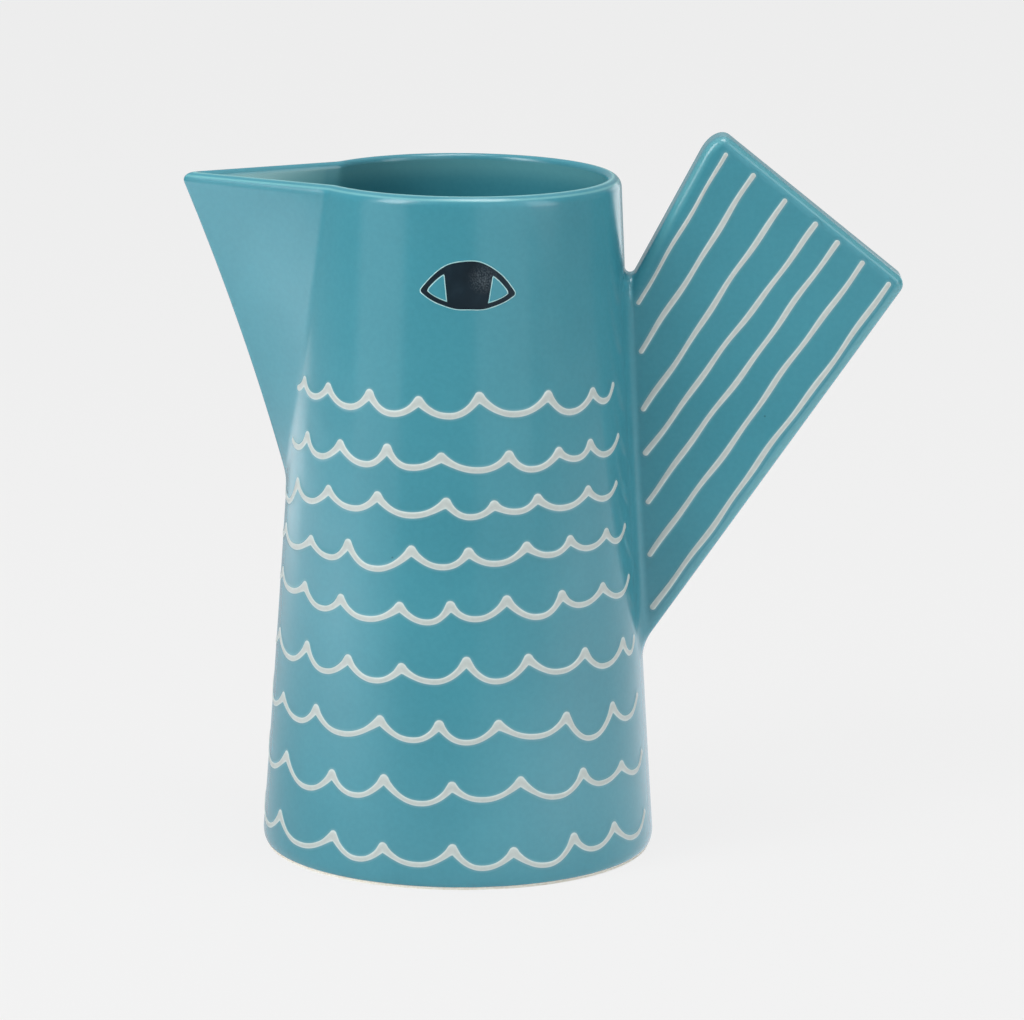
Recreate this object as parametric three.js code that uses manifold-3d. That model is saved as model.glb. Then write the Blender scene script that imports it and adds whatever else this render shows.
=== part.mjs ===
// Bird-shaped stoneware jug: a tapered body, a folded beak for a spout, a slab tail for a handle,
// an eye on each side, nine rows of raised scallops round the body and stripes on the tail.
// Millimetres, +Z up. The beak points along -X and the tail along +X. The origin is on the axis of
// the body, in the flat underside that the jug stands on.

import * as THREE from 'three';
import { mergeVertices } from 'three/addons/utils/BufferGeometryUtils.js';
import Module from 'manifold-3d';

// Body: outside radii at the foot, at half height and at the rim
const JUG_HEIGHT = 188.6;
const FOOT_RADIUS = 55;
const MID_RADIUS = 48.8;
const RIM_RADIUS = 43.6;
const WALL = 4;
const FOOT_ROUND = 2;
const FACETS = 72;
const LIP_STEPS = 3;

// Base slab: a plug inside the wall, with a thin bare edge that the wall stands on
const SLAB_THICKNESS = 6;
const SLAB_EDGE = 1;
const SLAB_CHAMFER = 0.4;

// Clearance at the luted joints, and under the thin lines laid on a surface
const JOINT_GAP = 0.3;
const LINE_GAP = 0.15;

// Beak: how far the tip stands out from the rim, and how far down the body the front edge runs
const BEAK_LENGTH = 36.2;
const BEAK_DROP = 85.6;
const BEAK_BOW = 0.2;
const BEAK_SPREAD = THREE.MathUtils.degToRad(34);
const BEAK_SPREAD_POWER = 0.55;
const BEAK_EDGE_ROUND = 2;
const BEAK_INNER_ROUND = 1;
const BEAK_EDGE_START = 0.004;
const BEAK_CHANNEL_START = 0.015;

// Tail: where its root meets the body, and its two far corners out and up from the top of the root
const TAIL_ROOT_BELOW_RIM = 29.6;
const TAIL_ROOT_LENGTH = 101.6;
const TAIL_TOP_OUT = 23.4;
const TAIL_TOP_UP = 44.4;
const TAIL_END_OUT = 77.4;
const TAIL_END_UP = 1.5;
const TAIL_TOP_ROUND = 4.5;
const TAIL_END_ROUND = 3.4;
const TAIL_THICKNESS = 14;
const TAIL_EDGE_ROUND = 2.8;
const TAIL_CROTCH_ROUND = 1.1;
const TAIL_FILLET = 5;

// Eyes: an almond outline with an iris that narrows downwards and leaves a window at each corner
const EYE_WIDTH = 25;
const EYE_LID_UP = 8.5;
const EYE_LID_DOWN = 4.3;
const EYE_BELOW_RIM = 25.6;
const EYE_ANGLE = THREE.MathUtils.degToRad(93);
const EYE_OUTLINE = 1.5;
const EYE_CORNER_BAND = 1.4;
const EYE_CORNER_SHARE = 0.01;
const IRIS_WIDTH = 12.4;
const IRIS_FLARE = 0.14;
const EYE_RELIEF = 0.3;

// Scallop rows: heights of the first and last troughs, size of a scallop and of the raised line
const ROW_COUNT = 9;
const TOP_ROW_BELOW_RIM = 57.8;
const LOW_ROW_ABOVE_FOOT = 7.2;
const ROW_CROWDING = 0.17;
const ROW_BEAK_CLEARANCE = 4.4;
const SCALLOP_WIDTH = 16.7;
const SCALLOP_DEPTH = 3.8;
const SCALLOP_POWER = 2.2;
const SCALLOP_STEPS = 6;
const ROW_TAIL_CLEARANCE = 17.5;
const ROW_TOP_SETBACK = 6;
const ROW_SETBACK_POWER = 0.75;
const LINE_WIDTH = 1.7;
const CUSP_WIDTH = 2.6;
const LINE_SLOPE_FACTOR = 1.5;
const LINE_RELIEF = 0.5;
const LINE_CROWN = 0.7;

// Hand-drawn variation: of the places of the cusps, the depths of the scallops and the stripes
const CUSP_WANDER = 0.14;
const DEPTH_WANDER = 0.16;
const STRIPE_WAVE = 0.45;
const CUSP_PHASES = [2.4, 1.9];
const DEPTH_PHASES = [1.7, 2.3];
const STRIPE_PHASES = [5, 1.3];

// Tail stripes: how many on a face, and how far they keep from the tail's edges
const STRIPE_COUNT = 7;
const STRIPE_WIDTH = 1.5;
const STRIPE_STEPS = 8;
const STRIPE_ROOT_GAP = 1;
const STRIPE_END_GAP = 3.6;
const STRIPE_ROOT_MARGIN = 0.09;
const STRIPE_END_MARGIN = 0.075;

const GLAZE = 0x5a9bab;
const BARE_CLAY = 0xcfcfc9;
const FOOT_CLAY = 0xe2dac8;
const EYE_SLIP = 0x25303a;
const GLAZE_ROUGHNESS = 0.3;
const CLAY_ROUGHNESS = 0.7;

const wasm = await Module();
wasm.setup();

const jug = new THREE.Group();

function addPart(name, geometry, color, roughness) {
  const material = new THREE.MeshStandardMaterial({ color, roughness, metalness: 0 });
  const mesh = new THREE.Mesh(geometry, material);
  mesh.name = name;
  jug.add(mesh);
}

// Signed volume, positive when the triangles face outwards
function volumeOf(geometry) {
  const position = geometry.getAttribute('position');
  const index = geometry.getIndex();
  const a = new THREE.Vector3();
  const b = new THREE.Vector3();
  const c = new THREE.Vector3();
  let total = 0;
  for (let i = 0; i < index.count; i += 3) {
    a.fromBufferAttribute(position, index.getX(i));
    b.fromBufferAttribute(position, index.getX(i + 1));
    c.fromBufferAttribute(position, index.getX(i + 2));
    total += a.dot(b.cross(c)) / 6;
  }
  return total;
}

// Merge shared corners and turn the faces outwards
function closed(geometry) {
  geometry.deleteAttribute('normal');
  geometry.deleteAttribute('uv');
  const merged = mergeVertices(geometry);
  if (volumeOf(merged) < 0) {
    const index = merged.getIndex();
    for (let i = 0; i < index.count; i += 3) {
      const second = index.getX(i + 1);
      index.setX(i + 1, index.getX(i + 2));
      index.setX(i + 2, second);
    }
  }
  merged.computeVertexNormals();
  return merged;
}

function toSolid(geometry) {
  const source = closed(geometry);
  const vertProperties = new Float32Array(source.getAttribute('position').array);
  const triVerts = new Uint32Array(source.getIndex().array);
  return new wasm.Manifold(new wasm.Mesh({ numProp: 3, vertProperties, triVerts }));
}

function fromSolid(solid) {
  const mesh = solid.getMesh();
  const geometry = new THREE.BufferGeometry();
  geometry.setAttribute('position', new THREE.BufferAttribute(mesh.vertProperties, 3));
  geometry.setIndex(new THREE.BufferAttribute(mesh.triVerts, 1));
  geometry.computeVertexNormals();
  return geometry;
}

// Skin a list of rings, each with the same number of points, and close both ends
function loft(rings) {
  const size = rings[0].length;
  const points = rings.flat();
  const index = [];
  for (let r = 0; r + 1 < rings.length; r += 1) {
    for (let k = 0; k < size; k += 1) {
      const next = (k + 1) % size;
      const a = r * size + k;
      const b = r * size + next;
      index.push(a, b, b + size, a, b + size, a + size);
    }
  }
  for (const [ring, flip] of [[0, true], [rings.length - 1, false]]) {
    const centre = new THREE.Vector3();
    rings[ring].forEach((point) => centre.addScaledVector(point, 1 / size));
    const hub = points.push(centre) - 1;
    for (let k = 0; k < size; k += 1) {
      const a = ring * size + k;
      const b = ring * size + ((k + 1) % size);
      index.push(...(flip ? [hub, b, a] : [hub, a, b]));
    }
  }
  const geometry = new THREE.BufferGeometry().setFromPoints(points);
  geometry.setIndex(index);
  return closed(geometry);
}

// Revolve a closed profile of [radius, height] points round the vertical axis
function revolve(profile) {
  const points = profile.map(([radius, height]) => new THREE.Vector2(radius, height));
  return new THREE.LatheGeometry(points, FACETS).rotateX(Math.PI / 2);
}

function arc(radius, height, size, from, to, steps) {
  const points = [];
  for (let k = 0; k <= steps; k += 1) {
    const angle = from + ((to - from) * k) / steps;
    points.push([radius + size * Math.cos(angle), height + size * Math.sin(angle)]);
  }
  return points;
}

// Outside radius of the body: a shallow curve through the foot, the middle and the rim
function outerRadius(height) {
  const t = height / JUG_HEIGHT;
  const bend = 2 * (FOOT_RADIUS + RIM_RADIUS - 2 * MID_RADIUS);
  return FOOT_RADIUS + (RIM_RADIUS - FOOT_RADIUS) * t - bend * t * (1 - t);
}

// A point on the body, turned from the beak towards the left side, lifted off the surface
function onBody(angle, height, lift) {
  const radius = outerRadius(height) + lift;
  return new THREE.Vector3(-radius * Math.cos(angle), -radius * Math.sin(angle), height);
}

const wallFoot = SLAB_EDGE + JOINT_GAP;
const footCentre = outerRadius(wallFoot + FOOT_ROUND) - FOOT_ROUND;
const lipRound = WALL / 2;
const lipCentre = JUG_HEIGHT - lipRound;

function wallTube() {
  const profile = arc(footCentre, wallFoot + FOOT_ROUND, FOOT_ROUND, -Math.PI / 2, 0, 3);
  const rise = lipCentre - wallFoot - FOOT_ROUND;
  for (let k = 1; k < 6; k += 1) {
    const height = wallFoot + FOOT_ROUND + (rise * k) / 6;
    profile.push([outerRadius(height), height]);
  }
  profile.push(...arc(outerRadius(lipCentre) - lipRound, lipCentre, lipRound, 0, Math.PI, 6));
  for (let k = 3; k >= 0; k -= 1) {
    const height = wallFoot + ((lipCentre - wallFoot) * k) / 4;
    profile.push([outerRadius(height) - WALL, height]);
  }
  profile.push(profile[0]);
  return revolve(profile);
}

// The body as a full cone, a joint gap larger and a little longer, to trim what is luted on to it
function bodyCutter() {
  const steps = 8;
  const top = JUG_HEIGHT + 2 * WALL;
  const profile = [[0, -WALL]];
  for (let k = 0; k <= steps; k += 1) {
    const height = -WALL + ((top + WALL) * k) / steps;
    profile.push([outerRadius(height) + JOINT_GAP, height]);
  }
  profile.push([0, top]);
  return toSolid(revolve(profile));
}

function baseSlab() {
  const plugFoot = outerRadius(SLAB_EDGE) - WALL - JOINT_GAP;
  const plugTop = outerRadius(SLAB_THICKNESS) - WALL - JOINT_GAP;
  const profile = [
    [0, 0],
    [footCentre - SLAB_CHAMFER, 0],
    [footCentre, SLAB_CHAMFER],
    [footCentre, SLAB_EDGE],
    [plugFoot, SLAB_EDGE],
    [plugTop, SLAB_THICKNESS],
    [0, SLAB_THICKNESS],
  ];
  return closed(revolve(profile));
}

const beakFoot = JUG_HEIGHT - BEAK_DROP;

// How far up the beak a height is, from 0 at its foot to 1 at the rim
function beakShare(height) {
  return (height - beakFoot) / BEAK_DROP;
}

// Distance of the front edge from the axis, with a slight outward bow
function beakReach(height) {
  const share = beakShare(height);
  const start = outerRadius(beakFoot);
  const stop = RIM_RADIUS + BEAK_LENGTH;
  return start + (stop - start) * (share * (1 - BEAK_BOW) + BEAK_BOW * share * share);
}

// Angle from the beak's middle plane to the crease where a side of the beak leaves the body
function creaseAngle(height) {
  return BEAK_SPREAD * Math.pow(Math.max(beakShare(height), 0), BEAK_SPREAD_POWER);
}

// Level section of the beak, moved in from its outside by a depth: a rounded front edge and two
// straight sides that run back a little way past a circle round the axis
function beakSection(height, depth, round, circle, overrun) {
  const crease = creaseAngle(height);
  const radius = outerRadius(height);
  const reach = beakReach(height);
  const half = Math.atan2(radius * Math.sin(crease), reach - radius * Math.cos(crease));
  const apex = reach - depth / Math.sin(half);
  const centre = apex - round / Math.sin(half);
  const meet = Math.asin(Math.min((apex * Math.sin(half)) / circle, 1)) - half;
  const backX = -circle * Math.cos(meet) + overrun * Math.cos(half);
  const backY = circle * Math.sin(meet) + overrun * Math.sin(half);
  const ring = [new THREE.Vector3(backX, -backY, height)];
  const turn = Math.PI / 2 - half;
  for (let k = -2; k <= 2; k += 1) {
    const angle = (turn * k) / 2;
    const x = -centre - round * Math.cos(angle);
    ring.push(new THREE.Vector3(x, round * Math.sin(angle), height));
  }
  ring.push(new THREE.Vector3(backX, backY, height));
  return ring;
}

// Heights of the beak's sections, closer together near its foot and round the lip
function beakHeights(firstShare) {
  const steps = 9;
  const crowding = 1.6;
  const start = beakFoot + firstShare * BEAK_DROP;
  const heights = [];
  for (let k = 0; k <= steps; k += 1) {
    heights.push(start + (lipCentre - start) * Math.pow(k / steps, crowding));
  }
  return heights;
}

// How far the rounded lip draws a side in, at a height above the centre of the lip
function lipInset(rise) {
  return lipRound - Math.sqrt(Math.max(lipRound * lipRound - rise * rise, 0));
}

// Heights above the centre of the lip, up to its top
const lipRises = Array.from({ length: LIP_STEPS }, (_, k) => {
  return lipRound * Math.sin(((k + 1) * Math.PI) / (2 * LIP_STEPS));
});

function beakOutside() {
  const rings = [];
  for (const height of beakHeights(BEAK_EDGE_START)) {
    rings.push(beakSection(height, 0, BEAK_EDGE_ROUND, outerRadius(height), WALL));
  }
  for (const rise of lipRises) {
    const height = lipCentre + rise;
    rings.push(beakSection(height, lipInset(rise), BEAK_EDGE_ROUND, outerRadius(height), WALL));
  }
  return toSolid(loft(rings));
}

// The channel inside the beak, which also opens the wall behind it
function beakChannel() {
  const rings = [];
  const add = (height, depth) => {
    const inside = outerRadius(height) - WALL;
    rings.push(beakSection(height, depth, BEAK_INNER_ROUND, inside, WALL));
  };
  beakHeights(BEAK_CHANNEL_START).forEach((height) => add(height, WALL));
  lipRises.forEach((rise) => add(lipCentre + rise, WALL - lipInset(rise)));
  add(JUG_HEIGHT + WALL, WALL / 2);
  return toSolid(loft(rings));
}

// Closed outline through corners, with an arc of the given radius at each corner that has one
function roundedOutline(corners) {
  const shape = new THREE.Shape();
  corners.forEach(({ at, round }, k) => {
    const before = corners[(k + corners.length - 1) % corners.length].at;
    const after = corners[(k + 1) % corners.length].at;
    const inward = new THREE.Vector2().subVectors(before, at).normalize();
    const outward = new THREE.Vector2().subVectors(after, at).normalize();
    const half = Math.acos(inward.dot(outward)) / 2;
    const back = round / Math.tan(half);
    const start = at.clone().addScaledVector(inward, back);
    if (k === 0) {
      shape.moveTo(start.x, start.y);
    } else {
      shape.lineTo(start.x, start.y);
    }
    if (round > 0) {
      const bisector = inward.clone().add(outward).normalize();
      const centre = at.clone().addScaledVector(bisector, round / Math.sin(half));
      const from = start.clone().sub(centre).angle();
      const to = at.clone().addScaledVector(outward, back).sub(centre).angle();
      shape.absarc(centre.x, centre.y, round, from, to, inward.cross(outward) > 0);
    }
  });
  shape.closePath();
  return shape;
}

const tailRootHigh = JUG_HEIGHT - TAIL_ROOT_BELOW_RIM;
const tailRootLow = tailRootHigh - TAIL_ROOT_LENGTH;
const tailRootTop = new THREE.Vector2(outerRadius(tailRootHigh), tailRootHigh);
const tailRootBottom = new THREE.Vector2(outerRadius(tailRootLow), tailRootLow);
const tailTopCorner = tailRootTop.clone().add(new THREE.Vector2(TAIL_TOP_OUT, TAIL_TOP_UP));
const tailEndCorner = tailRootTop.clone().add(new THREE.Vector2(TAIL_END_OUT, TAIL_END_UP));

// Side outline of the tail. It runs on inside the body, where it is trimmed off.
function tailOutline() {
  const inside = 3 * WALL;
  const above = tailRootHigh + inside;
  const lowDirection = new THREE.Vector2().subVectors(tailRootBottom, tailEndCorner).normalize();
  return roundedOutline([
    { at: tailRootBottom.clone().addScaledVector(lowDirection, inside), round: 0 },
    { at: tailEndCorner, round: TAIL_END_ROUND },
    { at: tailTopCorner, round: TAIL_TOP_ROUND },
    { at: tailRootTop, round: TAIL_CROTCH_ROUND },
    { at: new THREE.Vector2(outerRadius(above), above), round: 0 },
    { at: new THREE.Vector2(outerRadius(above) - inside, above), round: 0 },
  ]);
}

// Push an outline drawn in the side view out to both sides of the middle plane
function slab(outline, thickness, bevel) {
  const geometry = new THREE.ExtrudeGeometry(outline, {
    depth: thickness - 2 * bevel,
    bevelEnabled: bevel > 0,
    bevelThickness: bevel,
    bevelSize: bevel,
    bevelOffset: -bevel,
    bevelSegments: 4,
    curveSegments: 5,
  });
  geometry.translate(0, 0, bevel - thickness / 2);
  return geometry.rotateX(Math.PI / 2);
}

// Clay smoothed into the corner between the tail and the body, on both faces of the tail
function tailFillet() {
  const half = TAIL_THICKNESS / 2;
  const rings = [];
  const steps = 4;
  const reach = half + TAIL_FILLET;
  const first = tailRootLow - reach;
  const last = tailRootHigh + reach;
  for (let k = 0; k <= steps; k += 1) {
    const height = first + ((last - first) * k) / steps;
    const face = Math.sqrt(outerRadius(height) ** 2 - reach ** 2);
    const side = arc(face + TAIL_FILLET, reach, TAIL_FILLET, -Math.PI / 2, -Math.PI, 4);
    const mirrored = side.map(([x, y]) => [x, -y]).reverse();
    const back = face - WALL;
    const section = [[back, -reach], ...mirrored, ...side, [back, reach]];
    rings.push(section.map(([x, y]) => new THREE.Vector3(x, y, height)));
  }
  return toSolid(loft(rings));
}

function tailHandle(body) {
  const width = TAIL_THICKNESS + 2 * TAIL_FILLET;
  const fillet = tailFillet().intersect(toSolid(slab(tailOutline(), 2 * width, 0)));
  const cornerRound = Math.min(TAIL_TOP_ROUND, TAIL_END_ROUND);
  const edge = Math.min(TAIL_EDGE_ROUND, 0.95 * cornerRound, 0.45 * TAIL_THICKNESS);
  const plate = toSolid(slab(tailOutline(), TAIL_THICKNESS, edge));
  return fromSolid(plate.add(fillet).subtract(body));
}

// A flat-topped raised line. Each station gives its two edges on a surface, as [along, across]
// pairs, and place(along, across, lift) puts them in space. The top is narrower than the foot.
function raisedLine(stations, place, relief, crown) {
  const rings = stations.map(({ low, high }) => {
    const mix = (share) => [0, 1].map((k) => low[k] + (high[k] - low[k]) * share);
    const inset = (1 - crown) / 2;
    return [
      place(...low, LINE_GAP),
      place(...high, LINE_GAP),
      place(...mix(1 - inset), LINE_GAP + relief),
      place(...mix(inset), LINE_GAP + relief),
    ];
  });
  return loft(rings);
}

const eyeLevel = JUG_HEIGHT - EYE_BELOW_RIM;

// Almond on one side of the body. Its two lids meet at the corners, which lie level.
function almond(side, width, up, down, lift, relief) {
  const steps = 20;
  const span = width / outerRadius(eyeLevel);
  const stations = [];
  for (let k = 0; k <= steps; k += 1) {
    const t = (2 * k) / steps - 1;
    const share = Math.max(1 - t * t, EYE_CORNER_SHARE);
    const angle = side * (EYE_ANGLE + (span * t) / 2);
    stations.push({ low: [angle, eyeLevel - down * share], high: [angle, eyeLevel + up * share] });
  }
  return raisedLine(stations, (a, h, raise) => onBody(a, h, raise + lift), relief, 1);
}

// Seen from the side the iris is wider at the top than at the bottom
function irisOutline(centre) {
  const spots = [[-1, -1], [1, -1], [1, 1], [-1, 1]].map(([across, along]) => {
    const rise = along * (EYE_LID_UP + EYE_LID_DOWN);
    return new THREE.Vector2(centre + across * (IRIS_WIDTH / 2 + IRIS_FLARE * rise), eyeLevel + rise);
  });
  return new THREE.Shape(spots);
}

// The almond with a window of glaze left open on each side of the iris
function eye(side) {
  const through = 2 * WALL;
  const outside = toSolid(almond(side, EYE_WIDTH, EYE_LID_UP, EYE_LID_DOWN, 0, EYE_RELIEF));
  const inWidth = EYE_WIDTH - 2 * EYE_CORNER_BAND;
  const inUp = EYE_LID_UP - EYE_OUTLINE;
  const inDown = EYE_LID_DOWN - EYE_OUTLINE;
  const inside = toSolid(almond(side, inWidth, inUp, inDown, -WALL, through));
  const centre = onBody(side * EYE_ANGLE, eyeLevel, 0).x;
  const iris = toSolid(slab(irisOutline(centre), 4 * FOOT_RADIUS, 0));
  return fromSolid(outside.subtract(inside.subtract(iris)));
}

// Height of a row's troughs: the rows stand a little closer together towards the top
function rowTrough(row) {
  const share = row / (ROW_COUNT - 1);
  const top = JUG_HEIGHT - TOP_ROW_BELOW_RIM;
  const fall = share * (1 - ROW_CROWDING) + ROW_CROWDING * share * share;
  return top - (top - LOW_ROW_ABOVE_FOOT) * fall;
}

// A row that starts no higher than a clearance above the beak's foot is led round under it
function passesBeak(row) {
  return rowTrough(row) <= beakFoot + ROW_BEAK_CLEARANCE;
}

// A row just under the beak sags in front, so that it passes below the beak's foot
function frontSag(row, angle) {
  const need = rowTrough(row) + ROW_BEAK_CLEARANCE - beakFoot;
  const sag = passesBeak(row) ? Math.max(need, 0) : 0;
  return sag * Math.pow(Math.max(Math.cos(angle), 0), 2);
}

// A slow swing between -1 and 1 that differs from one row or stripe to the next
function beat([along, across], place, line, shift = 0) {
  return Math.sin(along * place + across * line + shift);
}

// One row of scallops between two angles. Widths and depths vary a little, as a hand would draw them.
function scallopRow(row, from, to, count) {
  const pitch = (to - from) / count;
  const cuspAt = (k) => {
    const inner = k > 0 && k < count;
    return from + pitch * (k + (inner ? CUSP_WANDER * beat(CUSP_PHASES, k, row) : 0));
  };
  const stations = [];
  for (let k = 0; k < count; k += 1) {
    const depth = SCALLOP_DEPTH * (1 + DEPTH_WANDER * beat(DEPTH_PHASES, k, row));
    const start = cuspAt(k);
    const width = cuspAt(k + 1) - start;
    for (let step = k === 0 ? 0 : 1; step <= SCALLOP_STEPS; step += 1) {
      const along = Math.abs((2 * step) / SCALLOP_STEPS - 1);
      const angle = start + (width * step) / SCALLOP_STEPS;
      const rise = depth * Math.pow(along, SCALLOP_POWER);
      const height = rowTrough(row) + rise - frontSag(row, angle);
      const arm = (width * outerRadius(height)) / 2;
      const slope = (SCALLOP_POWER * depth * Math.pow(along, SCALLOP_POWER - 1)) / arm;
      const rowEnd = (k === 0 && step === 0) || (k === count - 1 && step === SCALLOP_STEPS);
      let half = (LINE_WIDTH / 2) * Math.min(Math.hypot(1, slope), LINE_SLOPE_FACTOR);
      half = along === 1 ? CUSP_WIDTH / 2 : half;
      half = rowEnd ? LINE_WIDTH / 3 : half;
      stations.push({ low: [angle, height - half], high: [angle, height + half] });
    }
  }
  return raisedLine(stations, onBody, LINE_RELIEF, LINE_CROWN);
}

// Rows beside the beak are in two halves. The others have a trough under the beak, so an odd count.
function addScallopRows() {
  for (let row = 0; row < ROW_COUNT; row += 1) {
    const name = `scallop_row_${row + 1}`;
    const trough = rowTrough(row);
    const radius = outerRadius(trough);
    const setback = ROW_TAIL_CLEARANCE + ROW_TOP_SETBACK * Math.pow(ROW_SETBACK_POWER, row);
    const end = Math.PI - setback / radius;
    if (!passesBeak(row)) {
      const start = creaseAngle(trough + 2 * SCALLOP_DEPTH) + LINE_WIDTH / radius;
      const count = Math.round(((end - start) * MID_RADIUS) / SCALLOP_WIDTH);
      addPart(`${name}_left`, scallopRow(row, start, end, count), BARE_CLAY, CLAY_ROUGHNESS);
      addPart(`${name}_right`, scallopRow(row, -end, -start, count), BARE_CLAY, CLAY_ROUGHNESS);
    } else {
      const count = 2 * Math.floor((end * MID_RADIUS) / SCALLOP_WIDTH) + 1;
      addPart(name, scallopRow(row, -end, end, count), BARE_CLAY, CLAY_ROUGHNESS);
    }
  }
}

// One stripe along a face of the tail, from the fillet at the root to near the end edge
function tailStripe(side, stripe) {
  const share = stripe / (STRIPE_COUNT - 1);
  const between = (margin) => margin + (1 - 2 * margin) * share;
  const root = tailRootTop.clone().lerp(tailRootBottom, between(STRIPE_ROOT_MARGIN));
  const end = tailTopCorner.clone().lerp(tailEndCorner, between(STRIPE_END_MARGIN));
  const along = new THREE.Vector2().subVectors(end, root).normalize();
  const across = new THREE.Vector2(-along.y, along.x);
  const first = root.clone().addScaledVector(along, TAIL_FILLET + STRIPE_ROOT_GAP);
  const last = end.clone().addScaledVector(along, -STRIPE_END_GAP);
  const stations = [];
  for (let k = 0; k <= STRIPE_STEPS; k += 1) {
    const t = k / STRIPE_STEPS;
    const point = first.clone().lerp(last, t);
    point.addScaledVector(across, STRIPE_WAVE * beat(STRIPE_PHASES, t, stripe, side));
    const half = (STRIPE_WIDTH / 2) * (k === 0 || k === STRIPE_STEPS ? 0.5 : 1);
    const low = point.clone().addScaledVector(across, -half);
    const high = point.clone().addScaledVector(across, half);
    stations.push({ low: low.toArray(), high: high.toArray() });
  }
  const face = TAIL_THICKNESS / 2;
  const place = (x, z, lift) => new THREE.Vector3(x, side * (face + lift), z);
  return raisedLine(stations, place, LINE_RELIEF, LINE_CROWN);
}

function addTailStripes() {
  for (const [label, side] of [['left', -1], ['right', 1]]) {
    for (let stripe = 0; stripe < STRIPE_COUNT; stripe += 1) {
      addPart(`tail_stripe_${label}_${stripe + 1}`, tailStripe(side, stripe), BARE_CLAY, CLAY_ROUGHNESS);
    }
  }
}

const body = bodyCutter();
const channel = beakChannel();

addPart('body_wall', fromSolid(toSolid(wallTube()).subtract(channel)), GLAZE, GLAZE_ROUGHNESS);
addPart('base_slab', baseSlab(), FOOT_CLAY, CLAY_ROUGHNESS);
addPart('beak_spout', fromSolid(beakOutside().subtract(channel).subtract(body)), GLAZE, GLAZE_ROUGHNESS);
addPart('tail_handle', tailHandle(body), GLAZE, GLAZE_ROUGHNESS);
addPart('eye_left', eye(1), EYE_SLIP, GLAZE_ROUGHNESS);
addPart('eye_right', eye(-1), EYE_SLIP, GLAZE_ROUGHNESS);
addScallopRows();
addTailStripes();

export default jug;
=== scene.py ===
# %% [markdown]
# # A jug in the shape of a bird
# This stoneware jug has a tapered round body, a folded beak to pour from and a flat tail to hold it by.
# Rows of raised scallops go round the body like feathers, stripes run along the tail, and an eye is
# painted on each side. A frame of plain solids gives the place of every piece, in metres. The lesson
# makes a finer piece over each solid, then mixes the glaze and the slips, and then sets the studio.

# %% Load the frame
import math
from bisect import bisect_left, bisect_right

import bmesh
import bpy
from mathutils import Matrix, Vector


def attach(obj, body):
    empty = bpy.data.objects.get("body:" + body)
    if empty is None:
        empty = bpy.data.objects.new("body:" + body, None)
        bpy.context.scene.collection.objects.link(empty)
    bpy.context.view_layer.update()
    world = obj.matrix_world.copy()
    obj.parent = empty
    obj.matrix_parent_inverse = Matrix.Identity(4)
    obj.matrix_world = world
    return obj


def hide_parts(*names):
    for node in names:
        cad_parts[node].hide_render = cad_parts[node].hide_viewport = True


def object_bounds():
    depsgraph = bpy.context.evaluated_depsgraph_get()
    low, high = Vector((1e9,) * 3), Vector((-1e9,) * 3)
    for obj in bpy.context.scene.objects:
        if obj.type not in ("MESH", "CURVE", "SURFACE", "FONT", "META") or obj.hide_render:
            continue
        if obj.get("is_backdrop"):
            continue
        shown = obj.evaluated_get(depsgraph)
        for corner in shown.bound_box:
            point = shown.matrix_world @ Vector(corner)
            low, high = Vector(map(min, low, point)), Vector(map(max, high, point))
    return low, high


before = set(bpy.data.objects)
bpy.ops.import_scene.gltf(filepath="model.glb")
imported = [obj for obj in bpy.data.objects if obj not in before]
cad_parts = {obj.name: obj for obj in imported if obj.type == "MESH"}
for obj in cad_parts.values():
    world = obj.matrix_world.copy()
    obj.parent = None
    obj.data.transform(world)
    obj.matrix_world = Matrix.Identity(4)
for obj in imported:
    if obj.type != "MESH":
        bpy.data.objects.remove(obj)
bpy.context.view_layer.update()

# %% [markdown]
# ## The measures of the body
# The wall is 4 mm thick and leans in from a wide foot to a narrower rim, on a curve so shallow that it
# looks straight. All lengths in this lesson are in millimetres, and they turn into metres only when a
# vertex is put in its place. A height is measured from the table, and a turn goes round the axis from
# the beak towards the bird's left side.

# %% Measures and the curve of the wall
MM = 0.001
JUG_HEIGHT = 188.6
FOOT_RADIUS, MID_RADIUS, RIM_RADIUS = 55.0, 48.8, 43.6
WALL = 4.0
WALL_FOOT, FOOT_ROUND, FOOT_TALL = 0.7, 1.0, 3.2


def wall_radius(height):
    share = height / JUG_HEIGHT
    bend = 2 * (FOOT_RADIUS + RIM_RADIUS - 2 * MID_RADIUS)
    return FOOT_RADIUS + (RIM_RADIUS - FOOT_RADIUS) * share - bend * share * (1 - share)


print("radius at foot, eye and rim:", [round(wall_radius(h), 1) for h in (0, 165, JUG_HEIGHT)])

# %% [markdown]
# ## The measures of the beak
# The beak is a fold in the wall. Its front edge runs down to a point on the belly, and its two sides
# are nearly flat. Each side leaves the round wall at a crease, which a wet finger has softened. A level
# cut through the jug is therefore a circle with a blunt corner, and one function can say how far from
# the axis the clay is, for any turn, height and depth under the surface.

# %% How far out the clay reaches
BEAK_LENGTH, BEAK_DROP = 36.2, 85.6
BEAK_FOOT = JUG_HEIGHT - BEAK_DROP
BEAK_BOW = 0.2
BEAK_SPREAD, SPREAD_POWER = math.radians(34), 0.55
EDGE_ROUND, INNER_ROUND = 2.0, 1.0
FOOT_SOFT = 0.04
CREASE_SOFT = 0.8


def beak_share(height):
    share = (height - BEAK_FOOT) / BEAK_DROP
    if abs(share) >= FOOT_SOFT:
        return max(share, 0.0)
    return (share + FOOT_SOFT) ** 2 / (4 * FOOT_SOFT)


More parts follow.
